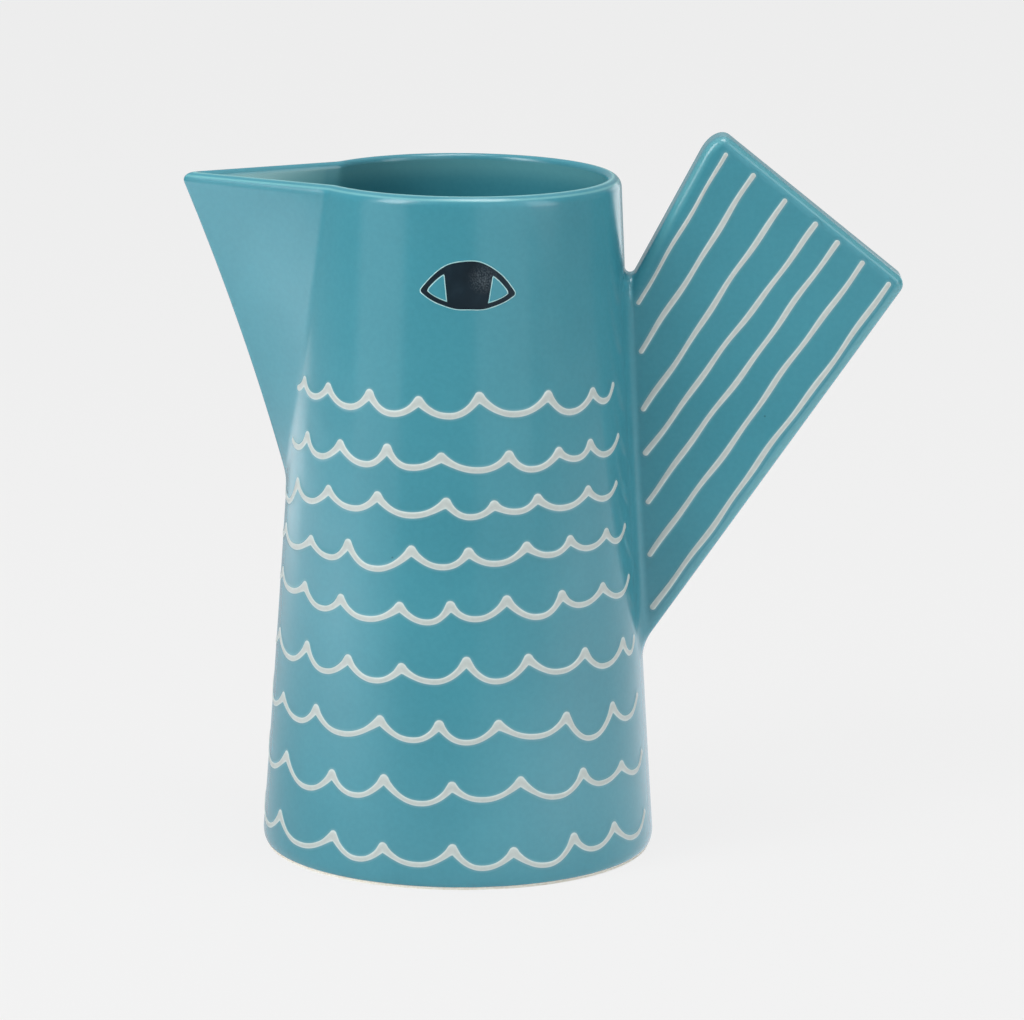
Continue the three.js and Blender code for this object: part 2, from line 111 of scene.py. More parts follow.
def beak_reach(height):
    share = beak_share(height)
    start = wall_radius(BEAK_FOOT)
    tip = RIM_RADIUS + BEAK_LENGTH
    edge = start + (tip - start) * (share * (1 - BEAK_BOW) + BEAK_BOW * share ** 2)
    return edge + wall_radius(height) - wall_radius(BEAK_FOOT + share * BEAK_DROP)


def crease_turn(height):
    return BEAK_SPREAD * beak_share(height) ** SPREAD_POWER


def beak_half_angle(height):
    wall, crease = wall_radius(height), crease_turn(height)
    return math.atan2(wall * math.sin(crease), beak_reach(height) - wall * math.cos(crease))


def clay_radius(turn, height, depth):
    wall, reach, turn = wall_radius(height), beak_reach(height), abs(turn)
    if reach - wall < 0.001:
        return wall - depth
    half = beak_half_angle(height)
    if turn + half >= math.pi / 2:
        return wall - depth
    apex = reach - depth / math.sin(half)
    edge = EDGE_ROUND + (INNER_ROUND - EDGE_ROUND) * depth / WALL
    centre = apex - edge / math.sin(half)
    if turn < math.atan2(edge * math.cos(half), centre + edge * math.sin(half)):
        side = centre * math.cos(turn) + math.sqrt(edge ** 2 - (centre * math.sin(turn)) ** 2)
    else:
        side = apex * math.sin(half) / math.sin(turn + half)
    soft = max(min(CREASE_SOFT, wall - reach * math.sin(half)), 1e-6)
    blend = max(soft - abs(side - wall + depth), 0)
    return max(side, wall - depth) + blend ** 2 / (4 * soft)


def on_body(turn, height, lift):
    radius = clay_radius(turn, height, 0) + lift
    return (-radius * math.cos(turn), -radius * math.sin(turn), height)


print("beak tip stands out", round(clay_radius(0, JUG_HEIGHT - WALL, 0), 1), "mm from the axis")

# %% [markdown]
# ## A slab of clay
# A potter starts from a flat slab and rolls it. Here a grid primitive is the slab: its squares are
# counted in columns and rows, and each corner is laid where a formula says. Two edges that meet are
# then welded, as clay edges are. The grid keeps its column and row in two attributes, so that later
# cells can still choose a part of it.

# %% Lay a slab, weld it and choose faces
def clear_selection():
    if bpy.context.mode != "OBJECT":
        bpy.ops.object.mode_set(mode="OBJECT")
    bpy.ops.object.select_all(action="DESELECT")


def pick(piece):
    clear_selection()
    piece.select_set(True)
    bpy.context.view_layer.objects.active = piece


def lay_slab(name, columns, rows, place):
    clear_selection()
    bpy.ops.mesh.primitive_grid_add(x_subdivisions=columns, y_subdivisions=rows, size=1)
    slab = bpy.context.object
    slab.name = slab.data.name = name
    column_of = [round((v.co.x + 0.5) * columns) for v in slab.data.vertices]
    row_of = [round((v.co.y + 0.5) * rows) for v in slab.data.vertices]
    slab.data.attributes.new("column", "INT", "POINT").data.foreach_set("value", column_of)
    slab.data.attributes.new("row", "INT", "POINT").data.foreach_set("value", row_of)
    for vertex, column, row in zip(slab.data.vertices, column_of, row_of):
        vertex.co = MM * Vector(place(column, row))
    return slab


def grid_spots(slab):
    both = zip(slab.data.attributes["column"].data, slab.data.attributes["row"].data)
    return [(column.value, row.value) for column, row in both]


def weld(piece, fill=False):
    pick(piece)
    bpy.ops.object.mode_set(mode="EDIT")
    bpy.ops.mesh.select_all(action="SELECT")
    bpy.ops.mesh.remove_doubles(threshold=0.000001)
    if fill:
        bpy.ops.mesh.fill_holes(sides=0)
    bpy.ops.mesh.select_all(action="SELECT")
    bpy.ops.mesh.normals_make_consistent(inside=False)
    bpy.ops.object.mode_set(mode="OBJECT")


def select_faces(piece, wanted):
    pick(piece)
    bpy.ops.object.mode_set(mode="EDIT")
    bpy.ops.mesh.select_mode(type="FACE")
    bpy.ops.mesh.select_all(action="DESELECT")
    bpy.ops.object.mode_set(mode="OBJECT")
    for face in piece.data.polygons:
        face.select = wanted(face)
    bpy.ops.object.mode_set(mode="EDIT")


def loose_edges(piece):
    mesh = bmesh.new()
    mesh.from_mesh(piece.data)
    count = sum(not edge.is_manifold for edge in mesh.edges)
    mesh.free()
    return count


# %% [markdown]
# ## The columns and rows of the wall
# The slab for the wall goes all the way round: up the outside, over the lip and down the inside. Its
# columns crowd together at the front edge of the beak and beside the crease, where the clay bends most.
# One column on each side of the beak is the line where the beak is luted on to the body, and it lies
# on the flat side of the beak, where a joint can't be seen. The lip rolls over in two quarter ellipses,
# a wide one outside and a tight one inside, as a sponge leaves it. A third, tall and narrow, draws the
# wall in above the bare slab at the foot.

# %% Where the columns and rows go
EDGE_COLUMNS, SIDE_COLUMNS, BACK_COLUMNS = 5, 18, 112
SEAM_COLUMN = EDGE_COLUMNS + SIDE_COLUMNS
HALF_COLUMNS = SEAM_COLUMN + BACK_COLUMNS
SEAM_SHARE, SEAM_LEAST, EDGE_LEAST = 0.78, math.radians(3.2), math.radians(0.9)
SEAM_FOOT, BACK_EVEN = 97.0, 0.65
LIP_OUT_WIDE, LIP_OUT_TALL, LIP_IN_TALL = 2.5, 3.0, 1.8
LIP_IN_WIDE = WALL - LIP_OUT_WIDE
FOOT_ROWS, LOW_ROWS, HIGH_ROWS, LIP_ROWS, INSIDE_ROWS = 5, 78, 52, 15, 18


def column_turn(count, height):
    half = beak_half_angle(height) if beak_share(height) > 0 else math.pi / 2
    edge = max(math.atan2(EDGE_ROUND * math.cos(half), beak_reach(height) - EDGE_ROUND), EDGE_LEAST)
    seam = math.hypot(SEAM_SHARE * crease_turn(height), SEAM_LEAST)
    number = abs(count)
    if number <= EDGE_COLUMNS:
        turn = edge * number / EDGE_COLUMNS
    elif number <= SEAM_COLUMN:
        turn = edge + (seam - edge) * (number - EDGE_COLUMNS) / SIDE_COLUMNS
    else:
        share = (number - SEAM_COLUMN) / BACK_COLUMNS
        turn = seam + (math.pi - seam) * (BACK_EVEN * share + (1 - BACK_EVEN) * share ** 2)
    return math.copysign(turn, count)


def even(start, stop, count):
    return [start + (stop - start) * k / count for k in range(1, count + 1)]


def lip_roll(angle, wide, tall):
    return JUG_HEIGHT - tall * (1 - math.sin(angle)), wide * (1 - math.cos(angle))


foot_centre = wall_radius(WALL_FOOT + FOOT_TALL) - FOOT_ROUND
profile = []
for k in range(FOOT_ROWS + 1):
    angle = math.pi / 2 * k / FOOT_ROWS
    height = WALL_FOOT + FOOT_TALL * (1 - math.cos(angle))
    profile.append((height, wall_radius(height) - foot_centre - FOOT_ROUND * math.sin(angle)))
profile += [(height, 0) for height in even(profile[-1][0], SEAM_FOOT, LOW_ROWS)]
SEAM_ROW = len(profile) - 1
profile += [(height, 0) for height in even(SEAM_FOOT, JUG_HEIGHT - LIP_OUT_TALL, HIGH_ROWS)]
profile += [lip_roll(angle, LIP_OUT_WIDE, LIP_OUT_TALL) for angle in even(0, math.pi / 2, LIP_ROWS)]
LIP_ROW = len(profile) - 1
for angle in even(math.pi / 2, 0, LIP_ROWS):
    height, bite = lip_roll(angle, LIP_IN_WIDE, LIP_IN_TALL)
    profile.append((height, WALL - bite))
profile += [(height, WALL) for height in even(profile[-1][0], SEAM_FOOT, HIGH_ROWS)]
INNER_SEAM_ROW = len(profile) - 1
profile += [(height, WALL) for height in even(SEAM_FOOT, WALL_FOOT, INSIDE_ROWS)]
profile.append(profile[0])
print("wall:", 2 * HALF_COLUMNS, "columns and", len(profile) - 1, "rows")


# %% [markdown]
# ## The body and the beak
# The two are laid as one slab, so that the glaze runs from one to the other without a break. The beak
# is then cut free with the separate operator, and both cut faces are closed with a ladder of quads
# from the outside of the wall to the inside. Cutting after the shape is made keeps the two edges equal.

# %% Lay the wall and cut the beak free
def wall_corner(column, row):
    height, depth = profile[row]
    turn = column_turn(column - HALF_COLUMNS, height)
    radius = clay_radius(turn, height, depth)
    return (-radius * math.cos(turn), -radius * math.sin(turn), height)


glazed_body = lay_slab("glazed_body", 2 * HALF_COLUMNS, len(profile) - 1, wall_corner)
weld(glazed_body)
left_seam, right_seam = HALF_COLUMNS - SEAM_COLUMN, HALF_COLUMNS + SEAM_COLUMN
spots = grid_spots(glazed_body)


def in_beak(face):
    return all(
        left_seam <= spots[v][0] <= right_seam and SEAM_ROW <= spots[v][1] <= INNER_SEAM_ROW
        for v in face.vertices
    )


select_faces(glazed_body, in_beak)
bpy.ops.mesh.separate(type="SELECTED")
bpy.ops.object.mode_set(mode="OBJECT")
glazed_beak = next(o for o in bpy.context.selected_objects if o is not glazed_body)
glazed_beak.name = glazed_beak.data.name = "glazed_beak"
print("body faces", len(glazed_body.data.polygons), "beak faces", len(glazed_beak.data.polygons))


# %% Close the cut faces of the joint
def close_joint(piece):
    mesh = bmesh.new()
    mesh.from_mesh(piece.data)
    column, row = mesh.verts.layers.int["column"], mesh.verts.layers.int["row"]
    corner = {(v[column], v[row]): v for v in mesh.verts}
    down = [(left_seam, r) for r in range(LIP_ROW - 1, SEAM_ROW, -1)]
    across = [(c, SEAM_ROW) for c in range(left_seam, right_seam + 1)]
    up = [(right_seam, r) for r in range(SEAM_ROW + 1, LIP_ROW)]
    outside = [corner[key] for key in down + across + up]
    inside = [corner[(c, 2 * LIP_ROW - r)] for c, r in down + across + up]
    for k in range(len(outside) - 1):
        mesh.faces.new((outside[k], outside[k + 1], inside[k + 1], inside[k]))
    mesh.faces.new((corner[(left_seam, LIP_ROW)], outside[0], inside[0]))
    mesh.faces.new((corner[(right_seam, LIP_ROW)], inside[-1], outside[-1]))
    mesh.to_mesh(piece.data)
    mesh.free()
    weld(piece)


for piece in (glazed_body, glazed_beak):
    close_joint(piece)
    print(piece.name, "open edges:", loose_edges(piece))

# %% [markdown]
# ## The tail
# The tail is a flat slab of clay with soft edges, pushed on to the back of the body and smoothed in
# with a finger. It could be a bevelled box, but a box can't run out in a fillet on a round wall. So a
# grid is rolled into a flat tube that follows the outline, its far end is drawn in for the rounded
# edge, and at the root the tube opens out and comes to lie on the wall. The section of the tube is a
# walk in eight legs: along the flat of an edge, round its quarter, across a face and so on. A leg goes
# from one stop to the next, and a stop gives the share across the face, the side of the tail and the
# share of the quarter turn.

# %% Measures of the tail
TAIL_ROOT_HIGH, TAIL_ROOT_LOW = JUG_HEIGHT - 31.4, JUG_HEIGHT - 131.2
TAIL_HALF, TAIL_EDGE = 7.0, 2.8
TOP_LONG, TOP_WIDE, END_ROUND = 8.0, 5.2, 3.0
FACE_COLUMNS, ARC_COLUMNS, FLAT_COLUMNS = 30, 5, 3
ROOT_ROWS, LENGTH_ROWS, END_ROWS = 12, 16, 12
root_top = Vector((wall_radius(TAIL_ROOT_HIGH), TAIL_ROOT_HIGH))
root_bottom = Vector((wall_radius(TAIL_ROOT_LOW), TAIL_ROOT_LOW))
top_corner = root_top + Vector((24.0, 45.7))
end_corner = root_top + Vector((77.3, 3.3))
upper_way = (top_corner - root_top).normalized()
lower_way = (end_corner - root_bottom).normalized()
end_way = (end_corner - top_corner).normalized()
print("tail end edge is", round((end_corner - top_corner).length, 1), "mm long")


# %% The stations round the tail
LEGS = (
    ("upper", FLAT_COLUMNS, (0, -1, 0), (0, 1, 0)),
    ("upper", ARC_COLUMNS, (0, 1, 0), (0, 1, 1)),
    ("face", FACE_COLUMNS, (0, 1, 1), (1, 1, 1)),
    ("lower", ARC_COLUMNS, (1, 1, 1), (1, 1, 0)),
    ("lower", FLAT_COLUMNS, (1, 1, 0), (1, -1, 0)),
    ("lower", ARC_COLUMNS, (1, -1, 0), (1, -1, 1)),
    ("face", FACE_COLUMNS, (1, -1, 1), (0, -1, 1)),
    ("upper", ARC_COLUMNS, (0, -1, 1), (0, -1, 0)),
)
stations = []
for part, count, start, stop in LEGS:
    for k in range(count):
        share, side, quarter = (a + (b - a) * k / count for a, b in zip(start, stop))
        stations.append((part, share, side, quarter * math.pi / 2))
print("stations round the tail:", len(stations))

# %% [markdown]
# A point of the tail is found in three steps. First comes the ring parallel to the end edge, at a
# distance back from it, which draws in at the two far corners. Then the line along the tail through
# that point is followed back to where it meets the wall. Last, an arc turns from that line on to the
# wall. The arc is a quadratic curve whose middle point has a weight, which makes it exactly round.

# %% Points of the tail
NEAR_BACK, TRIES = 10.0, 40


def slant(way):
    return abs(way.x * end_way.y - way.y * end_way.x)


def drawn_in(back, long, wide):
    return wide - wide * math.sqrt(1 - (max(long - back, 0) / long) ** 2)


def ring_point(station, back):
    part, share, side, angle = station
    high = top_corner - upper_way * back / slant(upper_way)
    low = end_corner - lower_way * back / slant(lower_way)
    along = (low - high).normalized()
    edge = TAIL_EDGE - drawn_in(back, TAIL_EDGE, TAIL_EDGE)
    bite = edge * (1 - math.cos(angle))
    first = high + along * (drawn_in(back, TOP_LONG, TOP_WIDE) + bite) / slant(upper_way)
    last = low - along * (drawn_in(back, END_ROUND, END_ROUND) + bite) / slant(lower_way)
    spot = first.lerp(last, share)
    return Vector((spot.x, side * (TAIL_HALF - TAIL_EDGE + edge * math.sin(angle)), spot.y))


def wall_normal(spot):
    slope = (wall_radius(spot.z + 1) - wall_radius(spot.z - 1)) / 2
    return Vector((spot.x, spot.y, -slope * math.hypot(spot.x, spot.y))).normalized()


def on_wall(spot, lift):
    scale = (wall_radius(spot.z) + lift) / math.hypot(spot.x, spot.y)
    return Vector((spot.x * scale, spot.y * scale, spot.z))


def root_line(station):
    far, near = ring_point(station, TOP_LONG), ring_point(station, TOP_LONG + NEAR_BACK)
    way = (far - near).normalized()
    root = near.copy()
    for _ in range(TRIES):
        root -= way * (math.hypot(root.x, root.y) - wall_radius(root.z)) / way.dot(wall_normal(root))
    return root, far, way


middle_root = root_line(stations[FLAT_COLUMNS + ARC_COLUMNS + FACE_COLUMNS // 2])[0]
print("middle of the tail root:", [round(x, 1) for x in middle_root])

# %% Lay the tail
FILLET, CROTCH_FILLET, FEATHER, SUNK = 4.8, 6.0, 1.0, -0.35


def fillet_length(station):
    part, share, side, angle = station
    return FILLET - (FILLET - CROTCH_FILLET) * math.cos(angle) if part == "upper" else FILLET


def station_normal(station, way):
    part, share, side, angle = station
    edgewise = Vector((-way.z, 0, way.x)) * (1 if part == "upper" else -1)
    return Vector((0, side, 0)) * math.sin(angle) + edgewise * math.cos(angle)


def arc_point(start, corner, stop, share):
    weight = math.sin((start - corner).angle(stop - corner) / 2)
    a, b, c = (1 - share) ** 2, 2 * weight * share * (1 - share), share ** 2
    return (start * a + corner * b + stop * c) / (a + b + c)


def tail_corner(column, row):
    station = stations[column % len(stations)]
    if row > ROOT_ROWS + LENGTH_ROWS:
        angle = math.pi / 2 * (row - ROOT_ROWS - LENGTH_ROWS) / END_ROWS
        return ring_point(station, TOP_LONG * (1 - math.sin(angle)))
    root, far, way = root_line(station)
    length = fillet_length(station)
    start = root + way * length
    if row >= ROOT_ROWS:
        return start.lerp(far, (row - ROOT_ROWS) / LENGTH_ROWS)
    normal = wall_normal(root)
    away = station_normal(station, way)
    away = (away - normal * away.dot(normal)).normalized()
    if row == 0:
        return on_wall(root + away * (length + FEATHER), SUNK)
    return arc_point(on_wall(root + away * length, 0.0), root, start, (row - 1) / (ROOT_ROWS - 1))


tail_rows = ROOT_ROWS + LENGTH_ROWS + END_ROWS
glazed_tail = lay_slab("glazed_tail", len(stations), tail_rows, tail_corner)
weld(glazed_tail, fill=True)
print("tail faces", len(glazed_tail.data.polygons), "open edges:", loose_edges(glazed_tail))

# %% [markdown]
# ## The foot slab
# The jug stands on a disc of bare clay whose edge shows as a thin cream line under the glaze. It closes
# the body like a plug, and its glazed upper face is the floor inside. A cylinder is enough of a start:
# its top is inset to the plug, drawn up, and pressed down again in the middle so that it meets the wall
# in a cove. An inset with a depth and no width draws up as an extrusion would, and numbers its faces in
# the same order every time. A step of the cove goes in as the cosine of its angle falls and down as the
# sine grows, so the cove is a quarter round.

# %% Turn the foot slab out of a cylinder
SLAB_EDGE, FLOOR, COVE, COVE_STEPS = 0.7, 6.0, 5.0, 7
SLAB_CORNERS, PLUG_GAP = 144, 0.02
plug = wall_radius(SLAB_EDGE) - WALL
brim = wall_radius(FLOOR + COVE) - WALL
clear_selection()
bpy.ops.mesh.primitive_cylinder_add(
    vertices=SLAB_CORNERS,
    radius=foot_centre * MM,
    depth=SLAB_EDGE * MM,
    location=(0, 0, SLAB_EDGE * MM / 2),
)
foot_slab = bpy.context.object
foot_slab.name = foot_slab.data.name = "foot_slab"
bpy.ops.object.transform_apply(location=True, rotation=True, scale=True)
select_faces(foot_slab, lambda face: face.normal.z > 0.9)
bpy.ops.mesh.inset(thickness=(foot_centre - plug + PLUG_GAP) * MM)
bpy.ops.mesh.inset(thickness=0, depth=(FLOOR + COVE - SLAB_EDGE) * MM)
bpy.ops.transform.resize(value=(brim / plug, brim / plug, 1), center_override=(0, 0, 0))
turned = 0.0
for angle in even(0, math.pi / 2, COVE_STEPS):
    bpy.ops.mesh.inset(thickness=COVE * (math.cos(turned) - math.cos(angle)) * MM)
    bpy.ops.transform.translate(value=(0, 0, COVE * (math.sin(turned) - math.sin(angle)) * MM))
    turned = angle
bpy.ops.object.mode_set(mode="OBJECT")
print("foot slab faces", len(foot_slab.data.polygons), "open edges:", loose_edges(foot_slab))

# %% [markdown]
# ## Bands laid on a surface
# Lines of slip and painted shapes are thin bands on the clay. A band is a narrow slab: its columns
# follow the line, and its rows go round the section of the band, over the top and back underneath.
# Each station gives points across the band, how far the whole band swells there, how far its bead does,
# and how far out from the line the station is. A row of the section gives a share across those points,
# a height that swells with the band and a height that swells with its bead. Where the swell is nothing
# all the corners meet in one point, so the weld closes the end.

# %% Lay a band
def lay_band(name, stations, section, place):
    def corner(column, row):
        points, swell, bead, _ = stations[column]
        share, film, crown = section[row % len(section)]
        k = min(int(share), len(points) - 2)
        spot = [a + (b - a) * (share - k) for a, b in zip(points[k], points[k + 1])]
        return place(*spot, film * swell + crown * bead)

    band = lay_slab(name, len(stations) - 1, len(section), corner)
    middle = (len(stations[0][0]) - 1) / 2
    across = []
    for column, row in grid_spots(band):
        share = section[row % len(section)][0]
        across.append(max(abs(share / middle - 1), stations[column][3]))
    band.data.attributes.new("across", "FLOAT", "POINT").data.foreach_set("value", across)
    weld(band)
    return band


# %% [markdown]
# ## A line drawn with a pen
# The slip is trailed from a nozzle, so a line is what a round pen would draw: its upper edge is the top
# of all the circles along the path and its lower edge the bottom of them. That gives round heads and
# sharp notches at the cusps by itself. A curve with a bevel would be quicker, but its tube would look
# like wire, not like flattened slip. A second, wider pen marks where the glaze runs thin beside the
# line.

# %% The edges and the section of a trailed line
HALO = 0.9
CAP_STEPS = 7
BEAD = [
    (0, 0.02, 0), (0.5, 0.03, 0), (1, 0.04, 0), (1.06, 0.05, 0.05), (1.2, 0.05, 0.1),
    (1.5, 0.05, 0.13), (1.8, 0.05, 0.1), (1.94, 0.05, 0.05), (2, 0.04, 0), (2.5, 0.03, 0),
    (3, 0.02, 0), (2.2, -0.3, 0), (0.8, -0.3, 0),
]


def pen_edges(line, places, x, grow):
    reach = max(half for _, _, half in line) + grow
    touched = []
    for px, y, half in line[bisect_left(places, x - reach):bisect_right(places, x + reach)]:
        height = (half + grow) ** 2 - (x - px) ** 2
        if height > -1e-9:
            touched.append((y, math.sqrt(max(height, 0))))
    if touched:
        return min(y - r for y, r in touched), max(y + r for y, r in touched)


def pen_stations(line):
    places = [x for x, _, _ in line]
    (first, _, first_half), (last, _, last_half) = line[0], line[-1]
    cap = [math.sin(math.pi / 2 * k / CAP_STEPS) for k in range(1, CAP_STEPS + 1)]
    spots = set(places)
    for grow in (0, HALO):
        spots |= {first - (first_half + grow) * c for c in cap}
        spots |= {last + (last_half + grow) * c for c in cap}
    stations = []
    for x in sorted(spots):
        low, high = pen_edges(line, places, x, HALO)
        middle = (low + high) / 2
        inner = pen_edges(line, places, x, 0) or (middle, middle)
        half = line[min(bisect_left(places, x), len(line) - 1)][2]
        points = [(x, low), (x, inner[0]), (x, inner[1]), (x, high)]
        swell, bead = (high - low) / (2 * (half + HALO)), (inner[1] - inner[0]) / (2 * half)
        beyond = max(first - first_half - x, x - last - last_half)
        out = (1 + 2 * beyond / HALO) / 3 if beyond > 0 else 0
        stations.append((points, min(swell, 1), min(bead, 1), out))
    return stations


print("rows in the section of a line:", len(BEAD))

# %% [markdown]
# ## The scallop rows
# Nine rows of scallops were trailed round the body by hand, so no two scallops are alike. A row is a
# list of the cusps on the bird's left side. Each has the turn, in degrees, at which the hand stopped,
# the height of the cusp, and the lowest height of the scallop after it. The other side is the same
# drawing mirrored, with every cusp moved a little. The two top rows are cut in half by the beak and
# start with a short tick on its side. The pen presses harder at a cusp, lifts off at the end of a row,
# and draws thinner lines towards the foot.

# %% Where the rows run
ROWS = {
    1: ((23.7, 134.0, 130.8), (39.8, 134.3, 130.2), (58.5, 134.5, 129.8), (76.4, 133.7, 129.9),
        (96.6, 135.2, 130.2), (120.9, 134.6, 129.3), (140.7, 133.6, 130.4), (153.5, 134.0, 130.4)),
    2: ((28.4, 119.4, 115.1), (47.0, 119.6, 115.3), (65.8, 120.2, 115.6), (84.3, 118.7, 115.3),
        (106.5, 119.1, 114.9), (124.6, 118.9, 116.4), (138.6, 119.7, 115.8), (156.0, 119.5, 115.8)),
    3: ((0.0, 100.8, 98.8), (22.5, 105.6, 102.0), (42.4, 106.5, 102.8), (62.8, 107.0, 102.6),
        (86.0, 106.5, 102.6), (101.5, 105.7, 103.7), (116.3, 106.8, 103.5), (136.8, 107.1, 103.8),
        (153.0, 106.8, 103.8)),
    4: ((11.3, 91.0, 87.7), (34.3, 91.5, 88.2), (52.2, 92.9, 87.2), (75.0, 93.1, 88.9),
        (93.3, 93.0, 89.8), (112.2, 94.0, 91.1), (128.3, 94.4, 91.3), (145.5, 94.2, 91.0),
        (158.5, 94.0, 91.0)),
    5: ((10.4, 78.5, 75.3), (32.2, 78.3, 73.7), (50.2, 77.5, 73.2), (71.6, 77.5, 73.7),
        (87.7, 78.4, 74.8), (105.4, 79.7, 74.5), (124.5, 79.7, 76.1), (142.4, 79.6, 75.8),
        (160.0, 79.5, 75.8)),
    6: ((12.0, 61.5, 56.8), (35.4, 62.2, 56.7), (54.1, 61.3, 56.6), (72.7, 60.8, 57.5),
        (92.8, 63.2, 57.6), (112.2, 63.3, 58.8), (133.0, 62.9, 57.8), (153.0, 62.5, 58.5),
        (162.5, 62.0, 58.5)),
    7: ((0.0, 45.5, 41.0), (21.3, 45.1, 40.9), (41.7, 45.6, 40.6), (66.2, 45.9, 41.2),
        (84.7, 45.7, 41.0), (102.6, 45.7, 41.7), (125.0, 46.1, 38.9), (145.0, 45.9, 41.0),
        (162.5, 45.5, 41.0)),
    8: ((0.0, 29.5, 24.0), (26.8, 29.6, 23.2), (49.9, 28.8, 24.3), (68.1, 29.8, 23.9),
        (88.7, 28.9, 25.2), (109.2, 29.8, 24.4), (130.6, 29.8, 25.6), (148.5, 28.7, 25.0),
        (164.5, 29.0, 25.0)),
    9: ((0.0, 12.0, 7.0), (25.0, 12.4, 6.8), (51.5, 12.0, 6.8), (68.4, 11.0, 7.0),
        (89.0, 11.7, 6.3), (106.8, 10.4, 5.9), (126.4, 12.3, 8.0), (143.2, 12.5, 7.2),
        (164.0, 12.0, 7.2)),
}
TICKS = {1: 18.5, 2: 14.0}
PITCH_TURN, SCALLOP_POWER, SCALLOP_STEPS = 19.6, 2.2, 36
LINE_HALF, LINE_THINS, CUSP_HALF, CUSP_POWER = 0.86, 0.018, 1.35, 2.5
LINE_TAPER, LIFTED = 5.0, 0.6
FAR_TURN, FAR_RISE, LEAN = 2.5, 0.3, 0.05


def other_side(row):
    moved = []
    for k, (turn, top, low) in enumerate(ROWS[row]):
        stray = math.sin(2.1 * k + row)
        turn += FAR_TURN * stray if turn else 0.0
        moved.append((turn, top + FAR_RISE * stray, low - FAR_RISE * stray))
    return moved


def whole_row(near, far):
    back = [(-far[k][0], far[k][1], far[k - 1][2]) for k in range(len(far) - 1, 0, -1)]
    front = [(-far[0][0], far[0][1], near[0][2])] if near[0][0] else []
    return back + front + list(near)


def row_line(row, radius, cusps, first):
    line = []
    for k in range(len(cusps) - 1):
        (start, start_top, low), (stop, stop_top, _) = cusps[k], cusps[k + 1]
        lean = LEAN * math.sin(2.9 * k + row)
        for step in range(SCALLOP_STEPS + (k == len(cusps) - 2)):
            share = step / SCALLOP_STEPS
            turn = start + (stop - start) * (share + lean * math.sin(math.pi * share))
            if turn >= first:
                rise = abs(2 * share - 1) ** SCALLOP_POWER
                top = start_top if share < 0.5 else stop_top
                line.append((math.radians(turn) * radius, low + (top - low) * rise, rise))
    return line


def pressed(row, line, lift_first):
    first, last, drawn = line[0][0], line[-1][0], []
    thin = LINE_HALF - LINE_THINS * row
    for x, y, rise in line:
        to_end = min(last - x, x - first if lift_first else LINE_TAPER, LINE_TAPER) / LINE_TAPER
        half = thin + (CUSP_HALF - thin) * rise ** CUSP_POWER
        drawn.append((x, y, half * (LIFTED + (1 - LIFTED) * to_end)))
    return drawn


row_lines = {}
for row, near in ROWS.items():
    far, radius = other_side(row), wall_radius(near[1][2])
    if row in TICKS:
        halves = []
        for cusps in (near, far):
            turn, top, low = cusps[0]
            halves.append(row_line(row, radius, [(turn - PITCH_TURN, top, low), *cusps], TICKS[row]))
        left, right = (pressed(row, line, False) for line in halves)
        row_lines[f"scallop_row_{row}_left"] = radius, left
        row_lines[f"scallop_row_{row}_right"] = radius, [(-x, y, half) for x, y, half in reversed(right)]
    else:
        cusps = whole_row(near, far)
        line = row_line(row, radius, cusps, cusps[0][0])
        row_lines[f"scallop_row_{row}"] = radius, pressed(row, line, True)
print("rows:", len(row_lines), "points:", sum(len(line) for _, line in row_lines.values()))

# %% Lay the rows as bands of slip
trailed_rows = {}
for name, (radius, line) in row_lines.items():
    trailed_rows[name] = lay_band(
        "trailed_" + name, pen_stations(line), BEAD, lambda x, y, lift: on_body(x / radius, y, lift)
    )
print("open edges in the rows:", sum(loose_edges(band) for band in trailed_rows.values()))

# %% [markdown]
# ## The tail stripes
# Seven stripes fan out along each face of the tail. They are the same trailed slip as the rows, drawn
# with one stroke each, so they waver and have round ends. Each is given by its two ends on the face, as
# a distance out from the axis and a height. The line is worked out as if it ran along an x axis, and the
# place function lays it on the slanting face.

# %% Lay the stripes
STRIPES = (
    ((48.7, 154.4), (71.8, 195.7)),
    ((49.5, 141.0), (79.4, 190.0)),
    ((50.4, 124.8), (88.2, 183.1)),
    ((51.3, 112.4), (96.8, 176.6)),
    ((52.0, 98.7), (102.9, 171.5)),
    ((52.8, 83.7), (109.9, 166.0)),
    ((53.9, 68.7), (117.2, 160.2)),
)
STRIPE_HALF, FIRST_HALF, STRIPE_STEPS = 0.72, 0.5, 110
STRAY, FIRST_STRAY, QUICK_STRAY, PRESS = 0.28, 0.12, 0.12, 0.1
SLOW_WAVE, QUICK_WAVE, PRESS_WAVE = 9, 3.1, 4
trailed_stripes = {}
for label, side in (("left", -1), ("right", 1)):
    for stripe, (start, stop) in enumerate(STRIPES, 1):
        root, way = Vector(start), (Vector(stop) - Vector(start)).normalized()
        length = (Vector(stop) - Vector(start)).length
        half, stray = (FIRST_HALF, FIRST_STRAY) if stripe == 1 else (STRIPE_HALF, STRAY)
        line = []
        for k in range(STRIPE_STEPS + 1):
            t = k / STRIPE_STEPS
            slow = math.sin(length * t / SLOW_WAVE + 1.3 * stripe + side) * math.sin(math.pi * t)
            quick = math.sin(length * t / QUICK_WAVE + 2.1 * stripe)
            press = 1 + PRESS * math.sin(length * t / PRESS_WAVE + 2 * stripe)
            line.append((length * t, stray * slow + QUICK_STRAY * quick, half * press))

        def on_tail(x, y, lift):
            spot = root + way * x + Vector((-way.y, way.x)) * y
            return (spot.x, side * (TAIL_HALF + lift), spot.y)

        name = f"tail_stripe_{label}_{stripe}"
        trailed_stripes[name] = lay_band("trailed_" + name, pen_stations(line), BEAD, on_tail)
print("open edges in the stripes:", sum(loose_edges(band) for band in trailed_stripes.values()))

